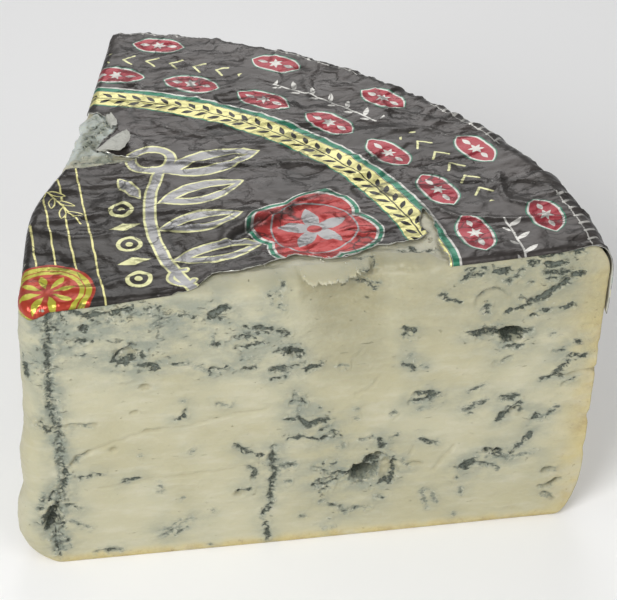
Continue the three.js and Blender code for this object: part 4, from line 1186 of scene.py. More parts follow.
def foil_lift(flat, settings):
    """How far the foil stands off the cheese: crinkles, creases, pleats round the rim, curled tears."""
    x, y = flat.T
    reach, angle = np.hypot(x, y), np.arctan2(y, x)
    arc = angle * WHEEL_RADIUS
    cosine, sine = math.cos(CRINKLE_TURN), math.sin(CRINKLE_TURN)
    bent = x * cosine + y * sine, y * cosine - x * sine + 2.5 * flat_noise(x, y, 18, 501, 2)
    outer = ramp(112, 138, reach)
    long_folds = mix(flat_ridges(*bent, (19, 6.5), 511), flat_ridges(arc, reach, (9, 17), 521), outer)
    fine_folds = mix(flat_ridges(*bent, (8, 3.0), 531), flat_ridges(arc, reach, (4.2, 7), 541), outer)
    patches = 0.35 + 0.65 * ramp(-0.25, 0.35, flat_noise(x, y, 24, 551, 2))
    lift = settings.crinkle / MM * patches * (0.62 * long_folds**2 + 0.30 * fine_folds**2)
    lift = lift + 0.12 * flat_noise(x, y, 2.2, 561, 2)
    crease, fold = np.zeros(len(flat)), np.zeros(len(flat))
    for height, half, *path in CREASES:
        crest = np.exp(-np.abs(path_distance(*wander_flat(x, y), path) / half) ** 1.4)
        crease = np.maximum(crease, crest)
        lift = lift + 0.8 * height * crest
        # The fold field is painted shade: a dark line on the front side of each crease.
        beside = path_distance(*wander_flat(x, y + 0.9 * half), path)
        fold = np.maximum(fold, clamp01(height) * np.exp(-((beside / (0.42 * half)) ** 2)))
    # Painted shadows in the hollows beside the folds, where the foil also dips.
    for half, *path in SHADOWS:
        away = path_distance(*wander_flat(x, y), path)
        fold = np.maximum(fold, fade(0.6 * half, 1.25 * half, away))
        lift = lift - 0.35 * half * np.exp(-((away / half) ** 2))
        lift = lift + 0.5 * half * np.exp(-((away / half - 1.7) ** 2))
    over = ramp(SHOULDER_START - 10, SHOULDER_START + 6, reach)
    drift = arc + 0.35 * (reach - SHOULDER_START) * flat_noise(arc, 0 * arc, 22, 571, 1)
    pleats = 0.6 * flat_ridges(drift, reach * 0.12, (7.5, 9), 581) ** 1.5
    pleats = pleats + 0.4 * flat_ridges(drift, reach * 0.3, (3.1, 9), 591) ** 1.5
    lift = lift * (1 - 0.6 * over) + settings.pleats / MM * over * pleats
    proud = np.exp(-(((angle / DEGREE - 14) / 13) ** 2)) * np.exp(-(((reach - 149) / 8) ** 2))
    lift = lift + RIM_STAND_OFF * proud
    torn = np.full(len(flat), 60.0)
    for path in (BARE_EDGE[3:], RIGHT_TEAR, LEFT_TEAR):
        torn = np.minimum(torn, path_distance(x, y, path))
    curl = 0.35 + 0.65 * ramp(-0.3, 0.4, flat_noise(x, y, 7, 601, 2))
    lift = lift + settings.curl / MM * curl * np.exp(-((torn / 1.5) ** 2))
    inside, _ = outward_from_edges(x, y)
    flush = np.maximum(fade(0, 2.4, inside), 0) * (1 - over)
    crease = np.maximum(crease, 0.8 * over * pleats)
    return lift * (1 - 0.85 * flush), dict(torn=torn, crease=crease, fold=fold)


def wander_flat(x, y):
    return x + 1.1 * flat_noise(x, y, 6, 611, 2), y + 1.1 * flat_noise(x, y, 6, 621, 2)


def closed_sheet(over, under, faces):
    """A closed thin sheet from its two sides, which have like points and faces."""
    count = len(over)
    edges = {}
    for face in faces:
        for a, b in zip(face, face[1:] + face[:1]):
            if (b, a) in edges:
                del edges[(b, a)]
            else:
                edges[(a, b)] = True
    walls = [(b, a, a + count, b + count) for a, b in edges]
    sides = [tuple(i + count for i in face[::-1]) for face in faces]
    return np.concatenate([over, under]), [*faces, *sides, *walls]


def foil_sheet(settings):
    """The sheet over the top and the rim: points, faces and fields."""
    step = settings.cell / MM
    outline = foil_outline(step)
    inner = hex_grid(outline.min(0), outline.max(0), step)
    rng = np.random.default_rng(settings.seed)
    inner = inner + rng.uniform(-0.12, 0.12, inner.shape) * step
    flat, faces = fill_outline(outline, inner, 0.5 * step)
    seat, normal = drape(flat)
    lift, fields = foil_lift(flat, settings)
    over = seat + normal * (FOIL_GAP + lift)[:, None]
    points, faces = closed_sheet(over, over - normal * settings.thickness / MM, faces)
    fields = {key: np.tile(values, 2) for key, values in fields.items()}
    fields.update(label=np.tile(with_height(flat, 0.0), (2, 1)), inner=np.repeat([0.0, 1.0], len(flat)))
    return points, faces, fields


def foil_flap(fold, edge, settings, seed):
    """A flap folded back over the sheet, pale side up."""
    fold = resample(fold, 0.5)
    share, corners = np.linspace(0, 1, len(fold)), np.linspace(0, 1, len(edge))
    edge = np.stack([np.interp(share, corners, part) for part in np.transpose(edge)], -1)
    t = np.linspace(0, 1, FLAP_ROWS)
    flat = mix(fold[:, None, :], edge[:, None, :], t[None, :, None])
    shift = [flat_noise(flat[..., 0], flat[..., 1], 1.6, seed + k, 2) for k in (0, 3)]
    flat = flat + 0.25 * np.stack(shift, -1) * t[None, :, None]
    x, y = flat[..., 0], flat[..., 1]
    rise = np.interp(t, (0, 0.08, 0.3, 0.75, 1), (0.1, 1.3, 1.2, 1.3, 1.9))
    crumple = 0.55 * flat_ridges(x, y, (3.2, 2.0), seed + 9) + 0.25 * flat_noise(x, y, 1.1, seed + 12, 2)
    z = crown(np.hypot(x, y)) + FOIL_GAP + rise + crumple * ramp(0, 0.3, t)
    over = with_height(flat, z).reshape(-1, 3)
    under = over - np.array([0, 0, settings.thickness / MM])
    points, faces = closed_sheet(over, under, quads(np.arange(z.size).reshape(z.shape)))
    zero = np.zeros(len(points))
    label = with_height(points[:, :2], 0.0)
    return points, faces, dict(label=label, torn=zero + 6, crease=zero, fold=zero, inner=zero + 1)


def build_foil(settings):
    """The foil: its sheet and the flaps folded back beside the gap, in one mesh."""
    parts = [foil_sheet(settings)]
    parts += [foil_flap(fold, edge, settings, 700 + 40 * i) for i, (fold, edge) in enumerate(FLAPS)]
    faces, offset = [], 0
    for points, part_faces, _ in parts:
        faces += plain_faces(part_faces, offset)
        offset += len(points)
    fields = {key: np.concatenate([part[2][key] for part in parts]) for key in parts[0][2]}
    points = np.concatenate([part[0] for part in parts])
    made = add_mesh("printed_foil", points, faces, fields, foil_material(settings))
    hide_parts("foil")
    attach(made, "root")


# Materials


class Nodes:
    """Adds nodes to a tree. An input takes a plain value or another node's socket."""

    def __init__(self, tree):
        self.tree = tree

    def feed(self, socket, value):
        if isinstance(value, bpy.types.NodeSocket):
            self.tree.links.new(value, socket)
        else:
            socket.default_value = value

    def fill(self, node, inputs):
        for key, value in inputs.items():
            self.feed(node.inputs[key], value)

    def add(self, kind, inputs=None, **settings):
        node = self.tree.nodes.new(kind)
        for key, value in settings.items():
            setattr(node, key, value)
        self.fill(node, inputs or {})
        return node

    def first(self, kind, inputs=None, **settings):
        """Adds a node and gives its first output."""
        return self.add(kind, inputs, **settings).outputs[0]

    def math(self, operation, *values):
        return self.first("ShaderNodeMath", dict(enumerate(values)), operation=operation)

    def minus(self, a, b):
        return self.math("SUBTRACT", a, b)

    def times(self, a, b):
        return self.math("MULTIPLY", a, b)

    def absolute(self, a):
        return self.math("ABSOLUTE", a)

    def lowest(self, *values):
        return reduce(lambda a, b: self.math("MINIMUM", a, b), values)

    def highest(self, *values):
        return reduce(lambda a, b: self.math("MAXIMUM", a, b), values)

    def step(self, value, start, end, low=0.0, high=1.0):
        """Maps a value smoothly from low at start to high at end."""
        inputs = {"Value": value, "From Min": start, "From Max": end, "To Min": low, "To Max": high}
        return self.first("ShaderNodeMapRange", inputs, interpolation_type="SMOOTHSTEP")

    def blend(self, share, below, above):
        """A colour between two others, which are sockets or three numbers each."""
        node = self.add("ShaderNodeMix", {0: share}, data_type="RGBA", clamp_factor=True)
        for key, value in ((6, below), (7, above)):
            self.feed(node.inputs[key], value if isinstance(value, bpy.types.NodeSocket) else (*value, 1))
        return node.outputs[2]

    def noise(self, where, size, detail=3.0, roughness=0.55, distortion=0.0, stretch=None):
        """Noise from about 0 to 1, with features of a size in millimetres. Where is in metres."""
        if stretch:
            where = self.stretched(where, stretch)
        inputs = {"Vector": where, "Scale": 1 / (size * MM), "Detail": detail, "Roughness": roughness}
        return self.first("ShaderNodeTexNoise", {**inputs, "Distortion": distortion})

    def drift(self, where, scale, detail):
        """Noise in three directions, each about zero."""
        inputs = {"Vector": where, "Scale": scale, "Detail": detail}
        noise = self.add("ShaderNodeTexNoise", inputs).outputs["Color"]
        return self.vector("SUBTRACT", noise, (0.5, 0.5, 0.5))

    def attribute(self, name, output="Fac"):
        settings = dict(attribute_name=name, attribute_type="GEOMETRY")
        return self.add("ShaderNodeAttribute", **settings).outputs[output]

    def stretched(self, where, scale, turn=0.0):
        return self.first("ShaderNodeMapping", {"Vector": where, "Scale": scale, "Rotation": (0, 0, turn)})

    def vector(self, operation, *values):
        node = self.add("ShaderNodeVectorMath", dict(enumerate(values)), operation=operation)
        return node.outputs["Value" if operation in ("LENGTH", "DOT_PRODUCT", "DISTANCE") else "Vector"]

    def scaled(self, vector, scale):
        return self.first("ShaderNodeVectorMath", {0: vector, "Scale": scale}, operation="SCALE")

    def split(self, vector):
        return self.add("ShaderNodeSeparateXYZ", {0: vector}).outputs

    def join(self, x, y):
        return self.first("ShaderNodeCombineXYZ", {0: x, 1: y})

    def turned(self, vector, centre, angle):
        """The vector from a centre, turned back by an angle."""
        inputs = {"Vector": self.vector("SUBTRACT", vector, centre), "Angle": self.times(angle, -1.0)}
        return self.first("ShaderNodeVectorRotate", inputs, rotation_type="Z_AXIS")

    def bump(self, height, strength, distance, normal=None):
        inputs = {"Height": height, "Strength": strength, "Distance": distance * MM}
        if normal:
            inputs["Normal"] = normal
        return self.first("ShaderNodeBump", inputs)

    def group(self, tree, **inputs):
        """Places a group and gives its outputs."""
        return self.add("ShaderNodeGroup", inputs, node_tree=tree).outputs

    def close(self, **outputs):
        """Ends a group, with each value going out under its name."""
        for name in outputs:
            self.tree.interface.new_socket(name, in_out="OUTPUT", socket_type="NodeSocketFloat")
        self.add("NodeGroupOutput", outputs)
        return self.tree


class Paint:
    """A colour that other colours of the settings go over, one after the other."""

    def __init__(self, nodes, settings, first):
        self.nodes, self.settings = nodes, settings
        self.colour = getattr(settings, first)

    def cover(self, share, new):
        """Blends in a colour, given by its name in the settings or by a socket."""
        new = getattr(self.settings, new) if isinstance(new, str) else new
        self.colour = self.nodes.blend(share, self.colour, new)


def new_group(name, **inputs):
    """A shader node group with named inputs, given with their defaults."""
    tree = bpy.data.node_groups.new(name, "ShaderNodeTree")
    for key, value in inputs.items():
        kind = "NodeSocketVector" if isinstance(value, tuple) else "NodeSocketFloat"
        tree.interface.new_socket(key, in_out="INPUT", socket_type=kind).default_value = value
    nodes = Nodes(tree)
    return nodes, nodes.add("NodeGroupInput").outputs


def ragged_group():
    """Shifts a distance by noise at two sizes, so that what is cut from it has torn edges."""
    nodes, given = new_group("ragged_distance", Place=ORIGIN, Distance=0.0, Coarse=1.0, Fine=0.6)
    flat = nodes.stretched(given["Place"], (0.62, 0.62, 1.15))
    total = given["Distance"]
    for size, strength, detail in ((2.1, "Coarse", 2.0), (0.95, "Fine", 4.0)):
        shift = nodes.times(nodes.minus(nodes.noise(flat, size, detail, 0.7, 0.35), 0.5), 6.0)
        total = nodes.math("MULTIPLY_ADD", shift, given[strength], total)
    return nodes.close(Distance=total)


def principled(name):
    """A new material, its nodes and its shader."""
    material = bpy.data.materials.new(name)
    material.use_nodes = True
    return material, Nodes(material.node_tree), material.node_tree.nodes["Principled BSDF"]


def rind_colour(nodes, where, settings, noise):
    """Tan rind with a pale bloom and darker pits."""
    rind = Paint(nodes, settings, "rind")
    rind.cover(nodes.step(noise, 0.4, 0.72), "rind_dark")
    bloom = nodes.noise(where, 16, 4, 0.6, stretch=(1, 1, 1.6))
    rind.cover(nodes.step(bloom, 0.45, 0.7, 0.0, 0.6), "paste_pale")
    rind.cover(nodes.step(nodes.noise(where, 1.5, 3, 0.7), 0.63, 0.72, 0.0, 0.5), "rind_deep")
    return rind.colour


def paste_material(settings):
    """Ivory paste with dark veins, blue-grey clouds, yellowish cracks and a tan rind, with painted shade
    in the scoop and the dent and painted highlights by the veins.
    """
    material, nodes, shader = principled("cheese paste")
    where = nodes.add("ShaderNodeTexCoord").outputs["Object"]
    ragged = ragged_group()
    fields = ("vein", "core", "cloud", "rind", "pit", "pale")
    vein, core, cloud, rind, pit, pale = map(nodes.attribute, fields)

    def torn_depth(depth, fine):
        """How deep inside a vein a place is, with a torn edge."""
        depth = nodes.minus(depth, 0.12)
        return nodes.group(ragged, Place=where, Distance=depth, Coarse=0.5, Fine=fine)["Distance"]

    smear = nodes.noise(where, 3.6, 4, 0.6, stretch=(0.3, 0.3, 1.0))
    fine = nodes.noise(where, 1.1, 3, 0.6)
    paste = Paint(nodes, settings, "paste")
    paste.cover(nodes.step(nodes.noise(where, 30, 2), 0.35, 0.65), "paste_deep")
    paste.cover(nodes.step(smear, 0.42, 0.75, 0.0, 0.4), "paste_pale")
    paste.cover(nodes.step(pale, 0.0, 1.0, 0.0, 0.7), "paste_pale")
    paste.cover(nodes.step(pale, 1.0, 2.0, 0.0, 0.85), "paste_grey")
    rind_noise = nodes.noise(where, 6, 6, 0.72)
    rind_share = nodes.times(rind, nodes.step(rind_noise, 0.2, 0.6, 0.72, 1.0))
    paste.cover(rind_share, rind_colour(nodes, where, settings, rind_noise))

    nick = nodes.step(nodes.noise(where, 1.6, 3, 0.6, 0.5, stretch=(0.42, 0.42, 1.25)), 0.69, 0.75)
    paste.cover(nodes.times(nick, 0.45), "pit")
    cloud_noise = nodes.noise(where, 3.4, 4, 0.6, stretch=(0.6, 0.6, 1.0))
    # The clouds and the pit colour also paint the shade of the scoop and the dent.
    paste.cover(nodes.times(cloud, nodes.step(cloud_noise, 0.3, 0.66, 0.2, 1.2)), "cloud")
    paste.cover(nodes.times(pit, nodes.step(fine, 0.3, 0.65, 0.65, 0.95)), "pit")

    depth = torn_depth(vein, 0.62)
    paste.cover(nodes.step(depth, -1.2, 0.3, 0.0, 0.5), "vein_pale")
    # Painted highlights: pale glints just inside the veins' edges.
    glint = nodes.times(nodes.step(depth, -0.7, -0.45), nodes.step(fine, 0.55, 0.66, 0.0, 0.42))
    paste.cover(glint, "paste_pale")
    inner = nodes.noise(where, 0.8, 3, 0.7)
    mottle = nodes.step(inner, 0.35, 0.6, 0.9, 0.35)
    paste.cover(nodes.times(nodes.step(depth, -0.35, 0.45), mottle), "vein_mid")
    dark = nodes.step(torn_depth(core, 0.75), -0.2, 0.42)
    paste.cover(dark, nodes.blend(nodes.step(inner, 0.36, 0.58), settings.vein, settings.vein_mid))
    fleck_noise = nodes.noise(where, 1.7, 5, 0.72, 0.4, stretch=(0.65, 0.65, 1.1))
    fleck = nodes.step(nodes.math("MULTIPLY_ADD", cloud, 0.13, fleck_noise), 0.70, 0.79, 0.0, 0.65)
    paste.cover(fleck, "vein_mid")

    normal = nodes.bump(smear, 0.35, 0.5)
    normal = nodes.bump(fine, 0.4, 0.35, normal)
    normal = nodes.bump(nodes.times(nodes.highest(dark, fleck, nick), -1.0), 0.9, 0.4, normal)
    normal = nodes.bump(nodes.times(rind, nodes.noise(where, 2.6, 6, 0.75)), 0.85, 1.1, normal)
    nodes.fill(shader, {
        "Base Color": paste.colour,
        "Roughness": nodes.math("MULTIPLY_ADD", rind, 0.18, nodes.step(smear, 0.3, 0.7, 0.38, 0.52)),
        "Specular IOR Level": 0.4,
        "Subsurface Weight": 0.12,
        "Subsurface Radius": (0.003, 0.0022, 0.0012),
        "Subsurface Scale": 1.0,
        "Normal": normal,
    })
    return material


# The print: distances in millimetres on the foil laid flat, painted one over the other


def leaf_group():
    """Distance to a pointed leaf."""
    nodes, given = new_group(
        "label_leaf", Place=ORIGIN, Centre=ORIGIN, Angle=0.0, Length=8.0, Width=4.0, Fullness=2.0
    )
    along, across, _ = nodes.split(nodes.turned(given["Place"], given["Centre"], given["Angle"]))
    share = nodes.math("DIVIDE", nodes.absolute(along), given["Length"])
    share = nodes.math("POWER", share, given["Fullness"])
    edge = nodes.times(given["Width"], nodes.minus(1.0, share))
    return nodes.close(Distance=nodes.minus(nodes.absolute(across), edge))


def arc_group():
    """Distance to an arc."""
    nodes, given = new_group("label_arc", Place=ORIGIN, Centre=ORIGIN, Middle=0.0, Sweep=3.2, Radius=5.0)
    local = nodes.turned(given["Place"], given["Centre"], given["Middle"])
    x, y, _ = nodes.split(local)
    y = nodes.absolute(y)
    on_arc = nodes.absolute(nodes.minus(nodes.vector("LENGTH", local), given["Radius"]))
    end_x = nodes.times(nodes.math("COSINE", given["Sweep"]), given["Radius"])
    end_y = nodes.times(nodes.math("SINE", given["Sweep"]), given["Radius"])
    past = nodes.vector("DISTANCE", nodes.join(x, y), nodes.join(end_x, end_y))
    outside = nodes.math("GREATER_THAN", nodes.math("ARCTAN2", y, x), given["Sweep"])
    return nodes.close(Distance=nodes.math("MULTIPLY_ADD", nodes.minus(past, on_arc), outside, on_arc))


def bar_group():
    """Distance to a straight stroke between two places."""
    nodes, given = new_group("label_bar", Place=ORIGIN, Start=ORIGIN, End=(1, 0, 0))
    way = nodes.vector("SUBTRACT", given["End"], given["Start"])
    away = nodes.vector("SUBTRACT", given["Place"], given["Start"])
    share = nodes.math("DIVIDE", *[nodes.vector("DOT_PRODUCT", part, way) for part in (away, way)])
    near = nodes.scaled(way, nodes.lowest(nodes.highest(share, 0.0), 1.0))
    return nodes.close(Distance=nodes.vector("DISTANCE", away, near))


def ring_group():
    """Repeats a place round a centre: how far along and out from the nearest repeat, and its angle."""
    nodes, given = new_group(
        "label_ring", Place=ORIGIN, Centre=ORIGIN, Radius=100.0, Pitch=10.0, Offset=0.0
    )
    away = nodes.vector("SUBTRACT", given["Place"], given["Centre"])
    x, y, _ = nodes.split(away)
    degrees = nodes.times(nodes.math("ARCTAN2", y, x), 1 / DEGREE)
    turn = nodes.math("DIVIDE", nodes.minus(degrees, given["Offset"]), given["Pitch"])
    part = nodes.minus(turn, nodes.math("ROUND", turn))
    arc = nodes.times(nodes.times(given["Pitch"], DEGREE), given["Radius"])
    outward = nodes.minus(nodes.vector("LENGTH", away), given["Radius"])
    return nodes.close(Along=nodes.times(part, arc), Outward=outward, Degrees=degrees)


class Label(Paint):
    """Draws the print. Each shape is a distance in millimetres, negative inside."""

    def __init__(self, nodes, settings, place):
        super().__init__(nodes, settings, "print_dark")
        self.place = place
        self.leaves, self.arcs = leaf_group(), arc_group()
        self.bars, self.rings = bar_group(), ring_group()

    def leaf(self, x, y, angle, length, width, fullness=2.0, place=None):
        """A pointed leaf, from half its length and half its width."""
        inputs = dict(Centre=(x, y, 0), Angle=angle * DEGREE, Length=length, Width=width)
        inputs.update(Place=place or self.place, Fullness=fullness)
        return self.nodes.group(self.leaves, **inputs)["Distance"]

    def arc(self, x, y, radius, middle, sweep, half):
        """A curved stroke, from the angle of its middle and half its sweep."""
        inputs = dict(Centre=(x, y, 0), Middle=middle * DEGREE, Sweep=sweep * DEGREE, Radius=radius)
        return self.nodes.minus(self.nodes.group(self.arcs, Place=self.place, **inputs)["Distance"], half)

    def circle(self, x, y, radius, half):
        return self.arc(x, y, radius, 0, 180, half)

    def disc(self, x, y, radius):
        return self.circle(x, y, 0.01, radius)

    def bar(self, start, end, half, place=None):
        """A straight stroke."""
        inputs = dict(Start=(*start, 0), End=(*end, 0))
        made = self.nodes.group(self.bars, Place=place or self.place, **inputs)
        return self.nodes.minus(made["Distance"], half)

    def ring(self, radius, pitch, offset=0.0, centre=(0, 0)):
        """The place as seen from the nearest of the shapes that stand round a centre, and its angle."""
        inputs = dict(Radius=radius, Pitch=pitch, Offset=offset, Centre=(*centre, 0))
        made = self.nodes.group(self.rings, Place=self.place, **inputs)
        return self.nodes.join(made["Along"], made["Outward"]), made["Degrees"]

    def span(self, value, low, high):
        """Negative between two values."""
        away = self.nodes.absolute(self.nodes.minus(value, (low + high) / 2))
        return self.nodes.minus(away, (high - low) / 2)

    def band(self, low, high):
        """A round band about the wheel's axis."""
        return self.span(self.nodes.vector("LENGTH", self.place), low, high)

    def cut(self, degrees, windows, *shapes):
        """The nearest of a ring's shapes, only where the angle lies in one of the windows."""
        parts = [self.nodes.times(self.span(degrees, low, high), 2.0) for low, high in windows]
        return self.nodes.highest(self.nodes.lowest(*shapes), self.nodes.lowest(*parts))

    def paint(self, name, *shapes, level=0.0):
        """Covers the shapes, or what lies nearer to them than a level, with one of the print's colours."""
        share = self.nodes.step(self.nodes.lowest(*shapes), level + 0.11, level - 0.11)
        self.cover(share, "print_" + name)


def print_ribbon(label):
    """The yellow ribbon with its dark leaf vine, between fine lines of green and white."""
    label.paint("green", label.band(98.9, 99.4))
    label.paint("yellow", label.band(99.4, 107.2))
    place, _ = label.ring(103.3, 2.35)
    leaves = [label.leaf(-0.2, side * 1.75, side * 38, 1.95, 0.72, place=place) for side in (-1, 1)]
    label.paint("black", label.bar((-2.2, 0), (2.2, 0), 0.2, place), *leaves)
    label.paint("white", label.band(107.4, 109.9))
    label.paint("green", label.band(107.5, 109.3))


def print_medallions(label, radius, pitch, offset, length, width):
    """A row of red medallions outlined in white and green, with a white flower and two leaves each."""
    place, _ = label.ring(radius, pitch, offset)
    eye = label.leaf(0, 0, 0, length, width, 3.2, place)
    for name, level in (("green", 1.25), ("white", 0.85), ("red", 0.25)):
        label.paint(name, eye, level=level)
    petals = [label.leaf(0, 0, turn, 2.3, 0.62, place=place) for turn in (0, 60, 120)]
    sides = [label.leaf(side * 0.55 * length, 0, 0, 1.7, 0.75, place=place) for side in (-1, 1)]
    label.paint("white", *petals, *sides)


def print_borders(label):
    """Yellow chevrons and white sprigs between the rows, and the marks towards the rim."""
    place, degrees = label.ring(127.2, 3.3, 1.6)
    strokes = [label.bar((-1.6, side * 2.6), (1.4, 0), 0.33, place) for side in (-1, 1)]
    label.paint("pale", label.cut(degrees, ((12, 31), (58, 77)), *strokes))
    place, degrees = label.ring(127.8, 2.9, 0.7)
    leaves = ((0.4, 0.5, 58, 2.6, 0.75), (-2.2, -2.6, 150, 1.6, 0.5))
    vine = [label.bar((-3.4, -1.4), (3.4, -1.4), 0.28, place)]
    vine += [label.leaf(*leaf, place=place) for leaf in leaves]
    label.paint("white", label.cut(degrees, ((36, 53), (-1, 8)), *vine))
    place, degrees = label.ring(145.2, 1.45)
    dashes = [label.bar((-0.7, -1.3), (0.7, 1.3), 0.38, place)]
    dashes += [label.bar((-1.8, -1.2), (1.8, -1.2), 0.14, place)]
    windows = [(middle - 6, middle + 6) for middle in (5, 28, 51, 74)]
    label.paint("white", label.cut(degrees, windows, *dashes))
    label.paint("white", label.band(156.2, 158.6))
    label.paint("green", label.band(156.5, 158.3))
    label.paint("yellow", label.band(160.2, 162.6))


def print_scroll(label):
    """The big silver branch with yellow outlines."""
    leaves = (
        (52.6, 60.6, 14, 14.2, 5.6), (48.4, 45.8, 17, 12.2, 4.6), (46.6, 31.6, 12, 11.4, 4.3),
        (49.6, 16.6, 9, 11.6, 4.1),
    )
    shapes = [label.arc(101.6, 33.1, 67.9, 183.4, 24.3, 1.15), label.circle(36.6, 64.2, 5.6, 1.05)]
    shapes += [label.leaf(*leaf) for leaf in leaves]
    shapes += [label.leaf(29.4, 50.5, 118, 5.2, 1.7), label.arc(39.8, 6.8, 3.2, 200, 120, 0.6)]
    whole = label.nodes.lowest(*shapes)
    label.paint("pale", whole, level=0.62)
    label.paint("silver", whole)
    slits = [
        label.leaf(x + 1.2, y, angle, 0.62 * length, 0.3 * width) for x, y, angle, length, width in leaves
    ]
    slit = label.nodes.lowest(*slits)
    label.paint("pale", slit, level=0.55)
    label.paint("dark", slit, level=0.05)


def print_column(label):
    """Rings and lozenges beside the branch, and the fine lines along the left side with a small sprig."""
    places = ((26.6, 40.4), (27.4, 24.2), (28.6, 8))
    rings = [label.circle(x, y, 2.9, 0.55) for x, y in places]
    dots = [label.disc(x, y, 1.0) for x, y in places]
    lozenges = [label.leaf(x, y, 8, 4.4, 1.7, 1.0) for x, y in ((26.8, 32.4), (28.0, 16))]
    label.paint("pale", *rings, *dots, *lozenges)
    lines = (
        ((10.2, 61.0), (14.4, -1)), ((15.4, 63.4), (19.7, -1)),
        ((6.3, 50), (8.4, 15)), ((2.3, 38), (3.4, 16)),
    )
    strokes = [label.bar(start, end, 0.24) for start, end in lines]
    label.paint("yellow", *strokes, label.bar((6.4, 54), (15.6, 35.6), 0.2))
    places = (
        (6.2, 51.0, -98), (9.8, 50.4, -28), (8.6, 46.0, -98), (12.2, 45.4, -28), (11.0, 41.2, -98),
        (14.4, 40.4, -28),
    )
    sprig = label.nodes.lowest(*[label.leaf(x, y, angle, 2.3, 0.7) for x, y, angle in places])
    label.paint("yellow", sprig, level=0.28)
    label.paint("dark", sprig, level=-0.05)


def print_rosette(label):
    """The rosette at the tip."""
    centre = (5.6, 6.2)
    disc = label.disc(*centre, 11.0)
    for name, level in (("orange", 0.9), ("lime", 0.0), ("orange", -3.0)):
        label.paint(name, disc, level=level)
    place, _ = label.ring(4.4, 45, 10, centre)
    label.paint("orange", label.circle(*centre, 9.4, 0.16))
    label.paint("lime", label.leaf(0, 0, 90, 2.9, 0.95, place=place))


def print_plaque(label):
    """The red plaque of four round lobes with silver leaves, outlined in white and green."""
    nodes = label.nodes
    centre_x, centre_y = 75.6, 22.4
    x, y, _ = nodes.split(nodes.turned(label.place, (centre_x, centre_y, 0), 22 * DEGREE))
    folded = nodes.join(nodes.absolute(x), nodes.absolute(y))
    lobes = nodes.minus(nodes.vector("DISTANCE", folded, (5.2, 5.8, 0)), 8.6)
    for name, level in (("white", 2.3), ("green", 1.9), ("white", 0.8), ("plaque", 0.1)):
        label.paint(name, lobes, level=level)
    leaves = []
    for turn in (22, 94, 166, 238, 310):
        leaf_x = centre_x + 4.6 * math.cos(turn * DEGREE)
        leaf_y = centre_y + 4.6 * math.sin(turn * DEGREE)
        leaves.append(label.leaf(leaf_x, leaf_y, turn, 5.2, 2.1))
    eye = label.disc(centre_x, centre_y, 1.5)
    label.paint("silver", nodes.highest(nodes.lowest(*leaves), nodes.minus(0.4, eye)))
    label.paint("silver", label.circle(centre_x, centre_y, 11.4, 0.25))


def foil_material(settings):
    """Crinkled aluminium foil under a dark print, pale on its inner side and where it is torn, with
    painted shade in its crinkles' valleys, beside its folds and towards the tip.
    """
    material, nodes, shader = principled("printed foil")
    flat = nodes.attribute("label", "Vector")
    torn, crease, inner, fold = map(nodes.attribute, ("torn", "crease", "inner", "fold"))

    metres = nodes.scaled(flat, MM)
    shift = nodes.drift(metres, 120.0, 4.0)
    place = nodes.vector("MULTIPLY", nodes.vector("ADD", flat, nodes.scaled(shift, 1.3)), (1, 1, 0))
    facets, edges = crinkles(nodes, nodes.vector("ADD", metres, nodes.scaled(shift, 0.009)))
    rubbed = nodes.noise(nodes.stretched(metres, (0.3, 1, 1), -0.1), 5, 4, 0.65)
    label = Label(nodes, settings, place)
    label.cover(nodes.step(nodes.noise(metres, 26, 3, 0.6), 0.36, 0.62), "print_warm")
    # Painted shade: the ground darker towards the tip, where the foil catches less sheen.
    label.cover(nodes.step(nodes.vector("LENGTH", flat), 20, 85, 0.85, 0.1), "print_tip_shade")
    label.cover(nodes.step(rubbed, 0.5, 0.75, 0.0, 0.3), "print_worn")
    print_column(label)
    print_scroll(label)
    print_plaque(label)
    print_rosette(label)
    print_ribbon(label)
    print_medallions(label, 117.0, 11.5, 6.0, 8.2, 3.6)
    print_medallions(label, 137.4, 16, 7.0, 7.6, 3.4)
    print_medallions(label, 169.4, 13, 3.0, 8.0, 3.6)
    print_borders(label)

    # Painted shade: black along the crinkles' sharpest valleys.
    label.cover(nodes.times(edges, 0.82), "print_black")
    # Painted shadows beside the creases and in the folds' hollows.
    label.cover(nodes.times(fold, 0.85), "print_black")
    worn = nodes.noise(metres, 0.9, 4, 0.7)
    label.cover(nodes.times(crease, nodes.step(worn, 0.58, 0.7, 0.0, 0.5)), "print_white")
    edge = nodes.math("MULTIPLY_ADD", nodes.minus(worn, 0.5), 1.6, torn)
    edge = nodes.step(edge, 0.15, 0.42, 0.9, 0.0)
    label.cover(nodes.highest(edge, inner), "bare")

    metal = nodes.math("MULTIPLY_ADD", edge, 0.2, 0.4)
    rough = nodes.step(rubbed, 0.3, 0.7, 0.25, 0.4)
    nodes.fill(shader, {
        "Base Color": label.colour,
        "Metallic": nodes.math("MULTIPLY_ADD", inner, -0.3, metal),
        "Roughness": nodes.math("MULTIPLY_ADD", inner, 0.25, rough),
        "Specular IOR Level": 0.4,
        "Normal": nodes.bump(worn, 0.1, 0.12, nodes.bump(facets, 0.9, 1.1)),
    })
    return material


